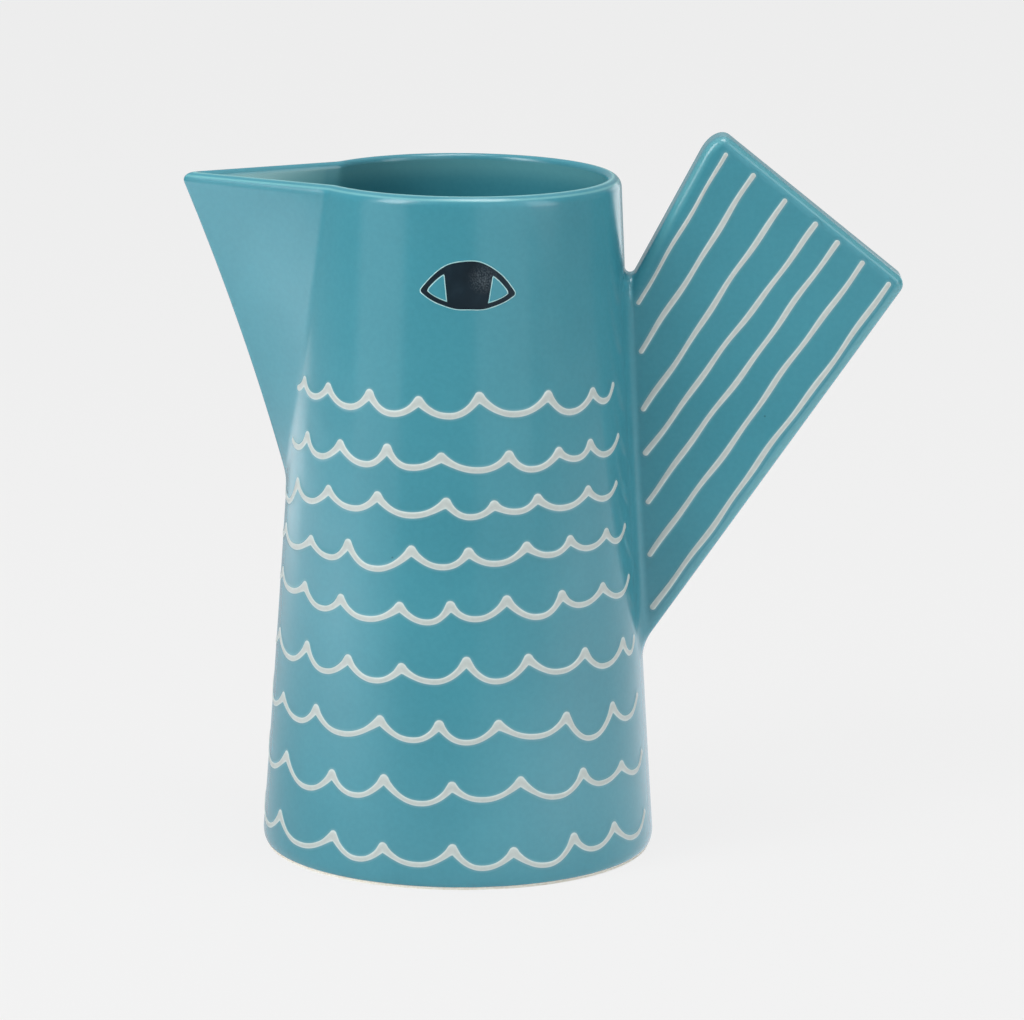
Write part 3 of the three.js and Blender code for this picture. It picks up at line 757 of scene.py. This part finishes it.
# %% [markdown]
# ## The eyes
# Each eye is an almond of dark slip with a window of glaze at each corner, so that an iris stands in the
# middle. The upper lid is arched higher than the lower one. A thin pale line is left where the slip
# stops. It is built as a painter would: a pale almond, a dark one over it, then the windows with their
# own pale edges, each layer a few hundredths of a millimetre above the last.

# %% The lids and the windows
EYE_WIDTH, LID_UP, LID_DOWN = 25.6, 8.45, 4.5
EYE_LEVEL, EYE_TURN, EYE_TILT = JUG_HEIGHT - 25.4, math.radians(92.7), math.radians(1.7)
LID_POWER, LOWER_POWER, TIP_ROUND = 2.3, 2.4, 0.8
PALE_EDGE = 0.26
WINDOW_WIDTH, WINDOW_UP, WINDOW_DOWN = 22.0, 6.5, 2.9
IRIS_HALF, IRIS_FLARE = 6.1, 0.14
CORNER_WIDTH, CORNER_ROUND = 0.75, 0.45
GROW_WIDE, GROW_UP, GROW_DOWN = 2.4, 1.3, 1.2
TIP_BLUNT, BLUNT_TALL, TIP_SWELL = 0.3, 0.5, 0.6
UPPER_WAVER, LOWER_WAVER = 0.1, 0.08
EYE_STEPS = 48


def hump(value, middle, spread):
    return math.exp(-((value - middle) / spread) ** 2)


def lid(reach, power):
    half, reach = EYE_WIDTH / 2 - TIP_ROUND, reach - math.copysign(TIP_ROUND, reach)
    shares = [k / EYE_STEPS for k in range(-EYE_STEPS, EYE_STEPS + 1)]
    return [(half * t, reach * (1 - abs(t) ** power), TIP_ROUND) for t in shares]


def almond(grow):
    upper, lower = lid(LID_UP, LID_POWER), lid(-LID_DOWN, LOWER_POWER)
    places = [x for x, _, _ in upper]
    stations = []
    for k in range(EYE_STEPS + 1):
        t = -math.cos(math.pi * k / EYE_STEPS)
        x = (EYE_WIDTH / 2 + grow) * t
        high = pen_edges(upper, places, x, grow)[1] + UPPER_WAVER * math.sin(9 * t) * (1 - t * t)
        low = pen_edges(lower, places, x, grow)[0] + LOWER_WAVER * math.sin(11 * t + 1) * (1 - t * t)
        stations.append(([(x, low), (x, high)], min((high - low) / TIP_SWELL, 1), 0, 0))
    return stations


def lid_reach(y, width, up, down):
    height, power = (y / up, LID_POWER) if y > 0 else (-y / down, LOWER_POWER)
    return width / 2 * max(1 - min(height, 1), 0) ** (1 / power)


def window_edges(y, grow):
    up, down = WINDOW_UP + GROW_UP * grow, WINDOW_DOWN + GROW_DOWN * grow
    reach = lid_reach(y, WINDOW_WIDTH + GROW_WIDE * grow, up, down)
    return IRIS_HALF - grow + IRIS_FLARE * y, reach - TIP_BLUNT * hump(y, 0, BLUNT_TALL)


def window(side, grow):
    ends = []
    for far in (-WINDOW_DOWN - 2 * grow, WINDOW_UP + 2 * grow):
        near = 0.0
        for _ in range(TRIES):
            y = (near + far) / 2
            inner, outer = window_edges(y, grow)
            near, far = (y, far) if outer - inner > CORNER_WIDTH + grow else (near, y)
        ends.append(near + math.copysign(CORNER_ROUND, near))
    stations = []
    for k in range(EYE_STEPS + 1):
        y = ends[0] + (ends[1] - ends[0]) * (1 - math.cos(math.pi * k / EYE_STEPS)) / 2
        inner, outer = window_edges(y, grow)
        past = 1 - min((y - ends[0]) / CORNER_ROUND, (ends[1] - y) / CORNER_ROUND, 1)
        middle, half = (inner + outer) / 2, max(outer - inner, 0) / 2 * math.sqrt(max(1 - past ** 2, 0))
        swell = 0 if k in (0, EYE_STEPS) else 1
        stations.append(([(side * (middle - half), y), (side * (middle + half), y)], swell, 0, 0))
    return stations


print("almond stations:", len(almond(0)), "window stations:", len(window(1, 0)))

# %% Lay the layers of both eyes
FILM_SUNK, FILM_EDGE = -0.1, 0.02


def film(lift):
    top = [(share, lift, 0) for share in (0.03, 0.25, 0.5, 0.75, 0.97)]
    under = [(1, FILM_SUNK, 0), (0.5, FILM_SUNK, 0)]
    return [(0, FILM_SUNK, 0), (0, lift - FILM_EDGE, 0), *top, (1, lift - FILM_EDGE, 0), *under]


eye_layers = [
    ("pale", almond(PALE_EDGE), 0.05),
    ("dark", almond(0), 0.09),
    ("pale", window(-1, PALE_EDGE), 0.12),
    ("pale", window(1, PALE_EDGE), 0.12),
    ("glaze", window(-1, 0), 0.15),
    ("glaze", window(1, 0), 0.15),
]
painted_eyes = {}
for name, turn in (("eye_left", EYE_TURN), ("eye_right", -EYE_TURN)):
    def on_side(x, y, lift):
        side = math.copysign(1, turn)
        along = x * math.cos(EYE_TILT) + y * math.sin(EYE_TILT)
        height = EYE_LEVEL + y * math.cos(EYE_TILT) - x * math.sin(EYE_TILT)
        return on_body(turn + side * along / wall_radius(EYE_LEVEL), height, lift)

    painted_eyes[name] = [
        (coat, lay_band(f"painted_{name}_{k}", shape, film(lift), on_side))
        for k, (coat, shape, lift) in enumerate(eye_layers)
    ]
eye_bands = [band for bands in painted_eyes.values() for _, band in bands]
print("open edges in the eyes:", sum(loose_edges(band) for band in eye_bands))

# %% [markdown]
# ## Where the glaze runs thin, and painted light
# A glaze draws back from sharp edges while it is molten, so it is paler there: in a fine line on the
# crown of the lip and along the edges of the tail. A second fine line, on the outer shoulder of the lip,
# is a painted highlight, and a band just inside the lip and the inside of the beak towards its front
# edge are paler with painted light. All of this follows the shape and not the space, so it is painted on
# the vertices as an attribute.

# %% Paint the thin glaze, a painted highlight and painted light
# Three lines along the lip, by row: a painted highlight on the outer shoulder, thin pale glaze on the
# crown, and painted light on a band just inside the lip.
LIP_LINES_AND_LIGHT = ((LIP_ROW - 7.5, 1.0, 0.7), (LIP_ROW - 1, 1.6, 1.0), (LIP_ROW + 15.5, 2.2, 0.45))
# Painted light on the inside of the beak, about a centimetre below the lip.
BEAK_LIGHT_ROW, BEAK_LIGHT_SPREAD = LIP_ROW + 1.4 * LIP_ROWS, 8
TAIL_THIN, ROOT_FADE, END_LINE, END_SPREAD = 0.3, 8, LENGTH_ROWS + 0.75 * END_ROWS, 1.6


def paint(piece, name, values):
    piece.data.attributes.new(name, "FLOAT", "POINT").data.foreach_set("value", values)
    print(piece.name, name, "mean", round(sum(values) / len(values), 3))


# Thin glaze along the lip, together with the painted highlight and the painted light.
def lip_lines_and_light(row):
    return sum(strength * hump(row, middle, spread) for middle, spread, strength in LIP_LINES_AND_LIGHT)


# Painted light inside the beak, strongest towards its front edge.
def beak_inside_light(column, row):
    to_tip = max(1 - abs(column - HALF_COLUMNS) / SEAM_COLUMN, 0)
    return math.sqrt(to_tip) * hump(row, BEAK_LIGHT_ROW, BEAK_LIGHT_SPREAD)


def tail_edges(column, row):
    from_root = row - ROOT_ROWS
    edge = math.sin(2 * stations[column % len(stations)][3])
    end = hump(from_root, END_LINE, END_SPREAD)
    return TAIL_THIN * min(max(from_root / ROOT_FADE, 0), 1) * max(edge, end)


# The thin attribute also carries the painted highlight on the lip and the painted light inside the lip
# and the beak.
for piece in (glazed_body, glazed_beak):
    paint(piece, "thin", [lip_lines_and_light(row) + beak_inside_light(column, row) for column, row in grid_spots(piece)])
paint(glazed_tail, "thin", [tail_edges(column, row) for column, row in grid_spots(glazed_tail)])

# %% [markdown]
# ## The glaze
# The glaze is a glossy teal. Seen closely it isn't one colour: it has soft clouds a few centimetres
# across, a fine mottle, a rare dark speck and paler edges. Noise on Object coordinates gives the clouds
# and the mottle, and the painted attribute gives the edges, together with the painted highlight and the
# painted light along the lip and inside the beak. A faint bump makes the reflections of the studio waver
# as they do on fired clay.

# %% Helpers for finishes
def tint(red, green, blue):
    def linear(value):
        value /= 255
        return value / 12.92 if value <= 0.04045 else ((value + 0.055) / 1.055) ** 2.4

    return (linear(red), linear(green), linear(blue), 1)


def grey(level):
    return (level, level, level, 1)


class Finish:
    """A material and short ways to add to its nodes."""

    def __init__(self, name):
        self.material = bpy.data.materials.new(name)
        self.material.use_nodes = True
        self.nodes, self.links = self.material.node_tree.nodes, self.material.node_tree.links
        self.shader = self.nodes["Principled BSDF"]
        self.place = self.add("ShaderNodeTexCoord").outputs["Object"]

    def add(self, kind, **inputs):
        node = self.nodes.new(kind)
        for name, value in inputs.items():
            self.feed(node.inputs[name.replace("_", " ")], value)
        return node

    def feed(self, socket, value):
        if isinstance(value, bpy.types.NodeSocket):
            self.links.new(value, socket)
        else:
            socket.default_value = value

    def coat(self, **inputs):
        for name, value in inputs.items():
            self.feed(self.shader.inputs[name.replace("_", " ")], value)

    def noise(self, scale, detail):
        node = self.add("ShaderNodeTexNoise", Vector=self.place, Scale=scale, Detail=detail)
        return node.outputs["Fac"]

    def attribute(self, name):
        node = self.add("ShaderNodeAttribute")
        node.attribute_name = name
        return node.outputs["Fac"]

    def ramp(self, value, *stops):
        node = self.add("ShaderNodeValToRGB", Fac=value)
        while len(node.color_ramp.elements) < len(stops):
            node.color_ramp.elements.new(0.5)
        for element, (position, color) in zip(node.color_ramp.elements, stops):
            element.position, element.color = position, color
        return node.outputs["Color"]

    def mix(self, share, first, second):
        node = self.add("ShaderNodeMix")
        node.data_type = "RGBA"
        self.feed(node.inputs["Factor"], share)
        self.feed(node.inputs[6], first)
        self.feed(node.inputs[7], second)
        return node.outputs[2]

    def span(self, value, low, high, start=0.0, stop=1.0):
        ends = {"From_Min": start, "From_Max": stop, "To_Min": low, "To_Max": high}
        return self.add("ShaderNodeMapRange", Value=value, **ends).outputs["Result"]

    def math(self, operation, first, second):
        node = self.add("ShaderNodeMath")
        node.operation = operation
        self.feed(node.inputs[0], first)
        self.feed(node.inputs[1], second)
        return node.outputs[0]

    def bump(self, height, depth):
        node = self.add("ShaderNodeBump", Height=height, Strength=1.0, Distance=depth)
        self.coat(Normal=node.outputs["Normal"])


print("teal on screen 66,138,153 is", [round(x, 3) for x in tint(66, 138, 153)])

# %% Mix the teal glaze
TEAL_DEEP, TEAL, TEAL_LIGHT = tint(55, 129, 144), tint(59, 134, 149), tint(63, 139, 154)
TEAL_THIN_AND_LIT, SPECK = tint(138, 201, 202), tint(34, 88, 100)
MOTTLE_SHARE, THIN_AND_LIT_SHARE, WAVER_DEPTH = 0.3, 0.7, 0.00006


def glaze_colour(finish):
    clouds = finish.ramp(finish.noise(26, 3), (0.3, TEAL_DEEP), (0.5, TEAL), (0.7, TEAL_LIGHT))
    mottle = finish.ramp(finish.noise(700, 2), (0.35, TEAL_DEEP), (0.65, TEAL_LIGHT))
    colour = finish.mix(MOTTLE_SHARE, clouds, mottle)
    cells = finish.add("ShaderNodeTexVoronoi", Vector=finish.place, Scale=38).outputs["Distance"]
    colour = finish.mix(finish.ramp(cells, (0.008, grey(0.7)), (0.014, grey(0))), colour, SPECK)
    # Pale teal for thin glaze, for the painted highlight on the lip and for the painted light inside the
    # lip and the beak.
    thin = finish.math("MULTIPLY", finish.attribute("thin"), THIN_AND_LIT_SHARE)
    return finish.mix(thin, colour, TEAL_THIN_AND_LIT)


def glaze_roughness(finish):
    return finish.span(finish.noise(60, 2), 0.15, 0.25)


def glaze_waver(finish):
    finish.bump(finish.noise(70, 1), WAVER_DEPTH)


teal_glaze = Finish("teal_glaze")
teal_glaze.coat(Base_Color=glaze_colour(teal_glaze), Roughness=glaze_roughness(teal_glaze))
glaze_waver(teal_glaze)
print("glaze nodes:", len(teal_glaze.nodes))

# %% [markdown]
# ## The slips and the bare clay
# The trailed lines are a pale slip under a thin skin of glaze: grey on the crown and brighter along the
# edges. Beside the line the glaze is thin over a breath of slip, so it fades from a light teal to the
# colour of the body. The share across the band picks all of that. The eye is a dark slip with faint
# brush streaks and a painted highlight near the top of the iris, broken up by fine noise; its pale line
# is slip that shows through, and the foot is bare cream clay.

# %% Mix the slips and the clay
GRAIN_SHARE, DRY_ROUGHNESS = 0.15, 0.25
# The spot where a painted highlight sits near the top of each iris.
EYE_GLINT_SPOT, SAND_DEPTH = MM * Vector((6.2, 0, EYE_LEVEL + 3.7)), 0.00008
trailed_clay = Finish("trailed_clay")
across = trailed_clay.attribute("across")
slip = trailed_clay.ramp(
    across, (0.0, tint(175, 183, 180)), (0.2, tint(181, 190, 187)), (0.3, tint(197, 210, 207))
)
specks = trailed_clay.noise(900, 3)
grain = trailed_clay.ramp(specks, (0.3, tint(150, 158, 153)), (0.7, tint(196, 206, 202)))
slip = trailed_clay.mix(GRAIN_SHARE, slip, grain)
cover = trailed_clay.ramp(across, (0.3, grey(1)), (0.38, grey(0.17)), (0.6, grey(0.06)), (0.95, grey(0)))
dry = trailed_clay.math("MULTIPLY", cover, DRY_ROUGHNESS)
trailed_clay.coat(
    Base_Color=trailed_clay.mix(cover, glaze_colour(trailed_clay), slip),
    Roughness=trailed_clay.math("ADD", glaze_roughness(trailed_clay), dry),
)
glaze_waver(trailed_clay)

dark_slip = Finish("dark_slip")
streak = dark_slip.ramp(
    dark_slip.noise(160, 4), (0.35, tint(9, 25, 34)), (0.6, tint(14, 32, 42)), (0.8, tint(26, 44, 54))
)
parts = dark_slip.add("ShaderNodeSeparateXYZ", Vector=dark_slip.place)
flat = dark_slip.add("ShaderNodeCombineXYZ", X=parts.outputs["X"], Z=parts.outputs["Z"])
away = dark_slip.add("ShaderNodeVectorMath")
away.operation = "DISTANCE"
dark_slip.feed(away.inputs[0], flat.outputs[0])
away.inputs[1].default_value = EYE_GLINT_SPOT
# A painted highlight round that spot, broken into streaks by fine noise.
glint = dark_slip.span(away.outputs["Value"], 0.4, 0, 0.001, 0.0046)
dry = dark_slip.ramp(dark_slip.noise(2600, 6), (0.42, grey(0)), (0.72, grey(1)))
slip_colour = dark_slip.mix(dark_slip.math("MULTIPLY", glint, dry), streak, tint(120, 131, 138))
satin = dark_slip.span(dark_slip.noise(90, 2), 0.34, 0.48)
dark_slip.coat(Base_Color=slip_colour, Roughness=satin, Specular_IOR_Level=0.2)

pale_line = Finish("pale_line")
slip_colour = pale_line.ramp(pale_line.noise(800, 2), (0.3, tint(126, 182, 188)), (0.7, tint(170, 205, 206)))
pale_line.coat(Base_Color=slip_colour, Roughness=0.3)

foot_clay = Finish("foot_clay")
sand = foot_clay.ramp(foot_clay.noise(1400, 3), (0.3, tint(238, 230, 214)), (0.7, tint(250, 246, 236)))
foot_clay.coat(Base_Color=sand, Roughness=0.8)
foot_clay.bump(foot_clay.noise(1200, 3), SAND_DEPTH)
finishes = (teal_glaze, trailed_clay, dark_slip, pale_line, foot_clay)
print("finishes:", [finish.material.name for finish in finishes])

# %% [markdown]
# ## Glazing and setting the pieces in the frame
# Every piece gets its finish, smooth shading that still breaks at the joints, and its place in the
# frame: it rides on the one body of the jug and stands for the plain solid of the same name. The layers
# of an eye are joined to one piece first.

# %% Finish a piece
def fire(piece, slot, *nodes, angle=40):
    pick(piece)
    bpy.ops.object.shade_smooth_by_angle(angle=math.radians(angle))
    for name in ("column", "row"):
        if name in piece.data.attributes:
            piece.data.attributes.remove(piece.data.attributes[name])
    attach(piece, "root")
    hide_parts(*nodes)


glazed_pieces = {"body_wall": glazed_body, "beak_spout": glazed_beak, "tail_handle": glazed_tail}
for node, piece in glazed_pieces.items():
    piece.data.materials.append(teal_glaze.material)
    fire(piece, "teal_glaze", node)
for finish in (foot_clay, teal_glaze):
    foot_slab.data.materials.append(finish.material)
for face in foot_slab.data.polygons:
    face.material_index = 1 if face.center.z > 2 * SLAB_EDGE * MM else 0
fire(foot_slab, "foot_clay", "base_slab", angle=30)
for name, band in {**trailed_rows, **trailed_stripes}.items():
    band.data.materials.append(trailed_clay.material)
    fire(band, "trailed_clay", name)

# %% Join the layers of the eyes
coats = {"pale": pale_line, "dark": dark_slip, "glaze": teal_glaze}
for name, bands in painted_eyes.items():
    for coat, band in bands:
        band.data.materials.append(coats[coat].material)
    pick(bands[1][1])
    for _, band in bands:
        band.select_set(True)
    bpy.ops.object.join()
    eye = bpy.context.object
    eye.name = eye.data.name = "painted_" + name
    fire(eye, "eye_slip", name)
    print(eye.name, "finishes", [material.name for material in eye.data.materials])

# %% [markdown]
# ## The studio
# The jug stands on a plain pale floor in soft light. The background is the colour of paper, so the
# camera and the reflections see the floor and the sky at that strength, while a share of the floor
# still shows the shadow. Each of the two has one shader for the light it gives and one for its look,
# and a Light Path node chooses between them.

# %% Floor and sky
PAPER, SKY_LIGHT = 0.878, 0.31
FLOOR_SIZE, FLOOR_GLOW = 40, 0.94
clear_selection()
bpy.ops.mesh.primitive_plane_add(size=FLOOR_SIZE)
floor = bpy.context.object
floor.name = "paper_floor"
floor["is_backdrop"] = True


def seen_share(nodes, links, share):
    path = nodes.new("ShaderNodeLightPath")
    seen = path.outputs["Is Camera Ray"]
    for ray in ("Is Glossy Ray", "Is Transmission Ray"):
        largest = nodes.new("ShaderNodeMath")
        largest.operation = "MAXIMUM"
        links.new(seen, largest.inputs[0])
        links.new(path.outputs[ray], largest.inputs[1])
        seen = largest.outputs[0]
    scale = nodes.new("ShaderNodeMath")
    scale.operation = "MULTIPLY"
    links.new(seen, scale.inputs[0])
    scale.inputs[1].default_value = share
    return scale.outputs[0]


def light_and_look(block, light_kind, look_kind, output_kind, share):
    block.use_nodes = True
    nodes, links = block.node_tree.nodes, block.node_tree.links
    nodes.clear()
    light, look = nodes.new(light_kind), nodes.new(look_kind)
    blend, output = nodes.new("ShaderNodeMixShader"), nodes.new(output_kind)
    links.new(seen_share(nodes, links, share), blend.inputs[0])
    links.new(light.outputs[0], blend.inputs[1])
    links.new(look.outputs[0], blend.inputs[2])
    links.new(blend.outputs[0], output.inputs["Surface"])
    return light.inputs, look.inputs


paper = bpy.data.materials.new("paper")
matt, glow = light_and_look(
    paper, "ShaderNodeBsdfDiffuse", "ShaderNodeEmission", "ShaderNodeOutputMaterial", FLOOR_GLOW
)
matt["Color"].default_value = glow["Color"].default_value = grey(PAPER)
floor.data.materials.append(paper)

world = bpy.data.worlds.new("studio")
bpy.context.scene.world = world
sky, sheet = light_and_look(
    world, "ShaderNodeBackground", "ShaderNodeBackground", "ShaderNodeOutputWorld", 1.0
)
sky["Color"].default_value = sheet["Color"].default_value = grey(1)
sky["Strength"].default_value, sheet["Strength"].default_value = SKY_LIGHT, PAPER
print("paper", PAPER, "sky light", SKY_LIGHT)

# %% [markdown]
# ## The lamps
# A tall lamp stands on the left in front, a small one on the right, and one hangs above, which makes the
# fine bright line along the lip. A weak lamp in front and a card on the right fill the shadows, and the
# white table throws light back up, so its glow lights the outside of the jug but not the inside. Boxes
# of cloth make soft streaks down the body. Two low ones behind the jug pick out the crease of the beak
# and the right edge of the wall, and the table shines in the glaze round the edges. A grey screen
# stands all round, darkest in front, as the dim room behind a camera is. The boxes, the shine and the
# screen show only in reflections, so the glaze keeps its depth of colour while its sides gleam. The
# brightness of a lamp is given for each square metre of it, so its size can change without changing how
# bright it looks.

# %% Lamps
def round_jug(azimuth, distance, height):
    angle = math.radians(azimuth)
    return Vector((distance * math.sin(angle), -distance * math.cos(angle), height))


def soft_box(name, place, facing, width, height, brightness):
    clear_selection()
    bpy.ops.object.light_add(type="AREA", location=place)
    lamp = bpy.context.object
    lamp.name = name
    lamp.data.shape = "RECTANGLE"
    lamp.data.size, lamp.data.size_y = width, height
    lamp.data.energy = brightness * math.pi * width * height
    lamp.rotation_euler = (facing - place).to_track_quat("-Z", "Y").to_euler()
    lamp.visible_camera = False
    return lamp


JUG_MIDDLE = Vector((0, 0, 0.1))
soft_box("left_lamp", round_jug(-54, 0.9, 0.75), JUG_MIDDLE, 0.35, 0.8, 6.1)
soft_box("right_lamp", round_jug(38, 0.55, 1.35), JUG_MIDDLE, 0.3, 0.3, 5)
soft_box("top_lamp", Vector((0.12, -0.12, 1.7)), JUG_MIDDLE, 0.7, 0.7, 7.4)
for lamp in (
    soft_box("front_lamp", round_jug(-40, 1.0, 0.9), JUG_MIDDLE, 0.5, 0.5, 4.4),
    soft_box("right_card", round_jug(72, 0.8, 0.2), Vector((0, 0, 0.2)), 0.6, 0.26, 2.7),
    soft_box("table_glow", Vector((0, 0, 0.001)), Vector((0, 0, 1)), 1.7, 1.7, 0.16),
):
    lamp.visible_glossy = False
for name, azimuth, distance, middle, width, tall, brightness in (
    ("left_box", -57, 0.95, 0.6, 0.6, 1.2, 1.0),
    ("right_box", 29, 0.95, 0.6, 0.65, 1.2, 0.78),
    ("side_box", 60, 0.95, 0.62, 0.34, 0.9, 3.2),
    ("back_box", 147, 0.95, 0.2, 0.32, 0.4, 1.5),
    ("crease_box", -136, 0.5, 0.045, 0.24, 0.09, 0.75),
):
    place = round_jug(azimuth, distance, middle)
    box = soft_box(name, place, Vector((0, 0, middle)), width, tall, brightness)
    box.visible_diffuse = False

# %% The shine of the table and the grey screen
def only_reflected(piece, finish):
    for ray in ("camera", "diffuse", "transmission", "shadow"):
        setattr(piece, "visible_" + ray, False)
    piece.data.materials.append(finish.material)
    piece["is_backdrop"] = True


SCREEN_FOLDS, SCREEN_FAR, SCREEN_TALL = 48, 1.05, 1.2
TABLE_RADIUS, TABLE_LIFT, TABLE_CORNERS = 0.85, 0.0005, 48
TABLE_LEVELS = (
    (0.2, 0.03), (0.33, 0.65), (0.44, 0.9), (0.52, 0.62),
    (0.6, 0.54), (0.67, 0.5), (0.72, 0.44), (0.8, 0.32),
)


def screen_corner(column, row):
    return round_jug(360 * column / SCREEN_FOLDS - 180, SCREEN_FAR, SCREEN_TALL * row) / MM


grey_cloth = Finish("grey_cloth")
depth = grey_cloth.add("ShaderNodeSeparateXYZ", Vector=grey_cloth.place).outputs["Y"]
dimness = grey_cloth.span(depth, 0.24, 0.44, -0.2, 0.4)
grey_cloth.coat(Base_Color=grey(0), Emission_Color=(0.85, 1, 1.04, 1), Emission_Strength=dimness)
only_reflected(lay_slab("grey_screen", SCREEN_FOLDS, 1, screen_corner), grey_cloth)

table_shine = Finish("table_shine")
parts = table_shine.add("ShaderNodeSeparateXYZ", Vector=table_shine.place)
far_back = table_shine.span(parts.outputs["Y"], 0, 1, -0.9, 0.9)
stops = [(at, (level, level, 1.05 * level, 1)) for at, level in TABLE_LEVELS]
shine = table_shine.ramp(far_back, *stops)
left = table_shine.span(parts.outputs["X"], 4.0, 1.1, -0.7, -0.15)
right = table_shine.span(parts.outputs["X"], 1.1, 2.0, 0.0, 0.15)
strength = table_shine.math("MAXIMUM", left, right)
table_shine.coat(Base_Color=grey(0), Emission_Color=shine, Emission_Strength=strength)
clear_selection()
bpy.ops.mesh.primitive_circle_add(
    vertices=TABLE_CORNERS, radius=TABLE_RADIUS, fill_type="NGON", location=(0, 0, TABLE_LIFT)
)
only_reflected(bpy.context.object, table_shine)
bpy.context.object.name = "table_shine"
print("only in reflections: grey_screen and table_shine")

# %% [markdown]
# ## The camera
# The picture was taken with a long lens from a little above the rim, so upright edges stay upright and
# the mouth shows as a narrow ellipse. The lens comes from the focal length in pixels of a picture 1024
# pixels wide.

# %% Set the camera
FOCAL_PIXELS, PICTURE_WIDTH, SENSOR = 5234.7, 1024, 36
CAMERA_PLACE = MM * Vector((14.40, -1425.48, 397.72))
PITCH, ROLL = 0.2096367, 0.0091496
clear_selection()
bpy.ops.object.camera_add()
camera = bpy.context.object
camera.data.sensor_fit = "HORIZONTAL"
camera.data.sensor_width = SENSOR
camera.data.lens = SENSOR * FOCAL_PIXELS / PICTURE_WIDTH
forward = Vector((0, math.cos(PITCH), -math.sin(PITCH)))
level_up = Vector((0, math.sin(PITCH), math.cos(PITCH)))
right = Vector((1, 0, 0)) * math.cos(ROLL) + level_up * math.sin(ROLL)
up = level_up * math.cos(ROLL) - Vector((1, 0, 0)) * math.sin(ROLL)
turned = Matrix((right, up, -forward)).transposed().to_4x4()
camera.matrix_world = Matrix.Translation(CAMERA_PLACE) @ turned
bpy.context.scene.camera = camera
bpy.context.scene.view_settings.view_transform = "Standard"
print("lens", round(camera.data.lens, 1), "mm")

# %% Measure and finish
low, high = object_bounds()
print("visual box", [round(x, 4) for x in high - low])
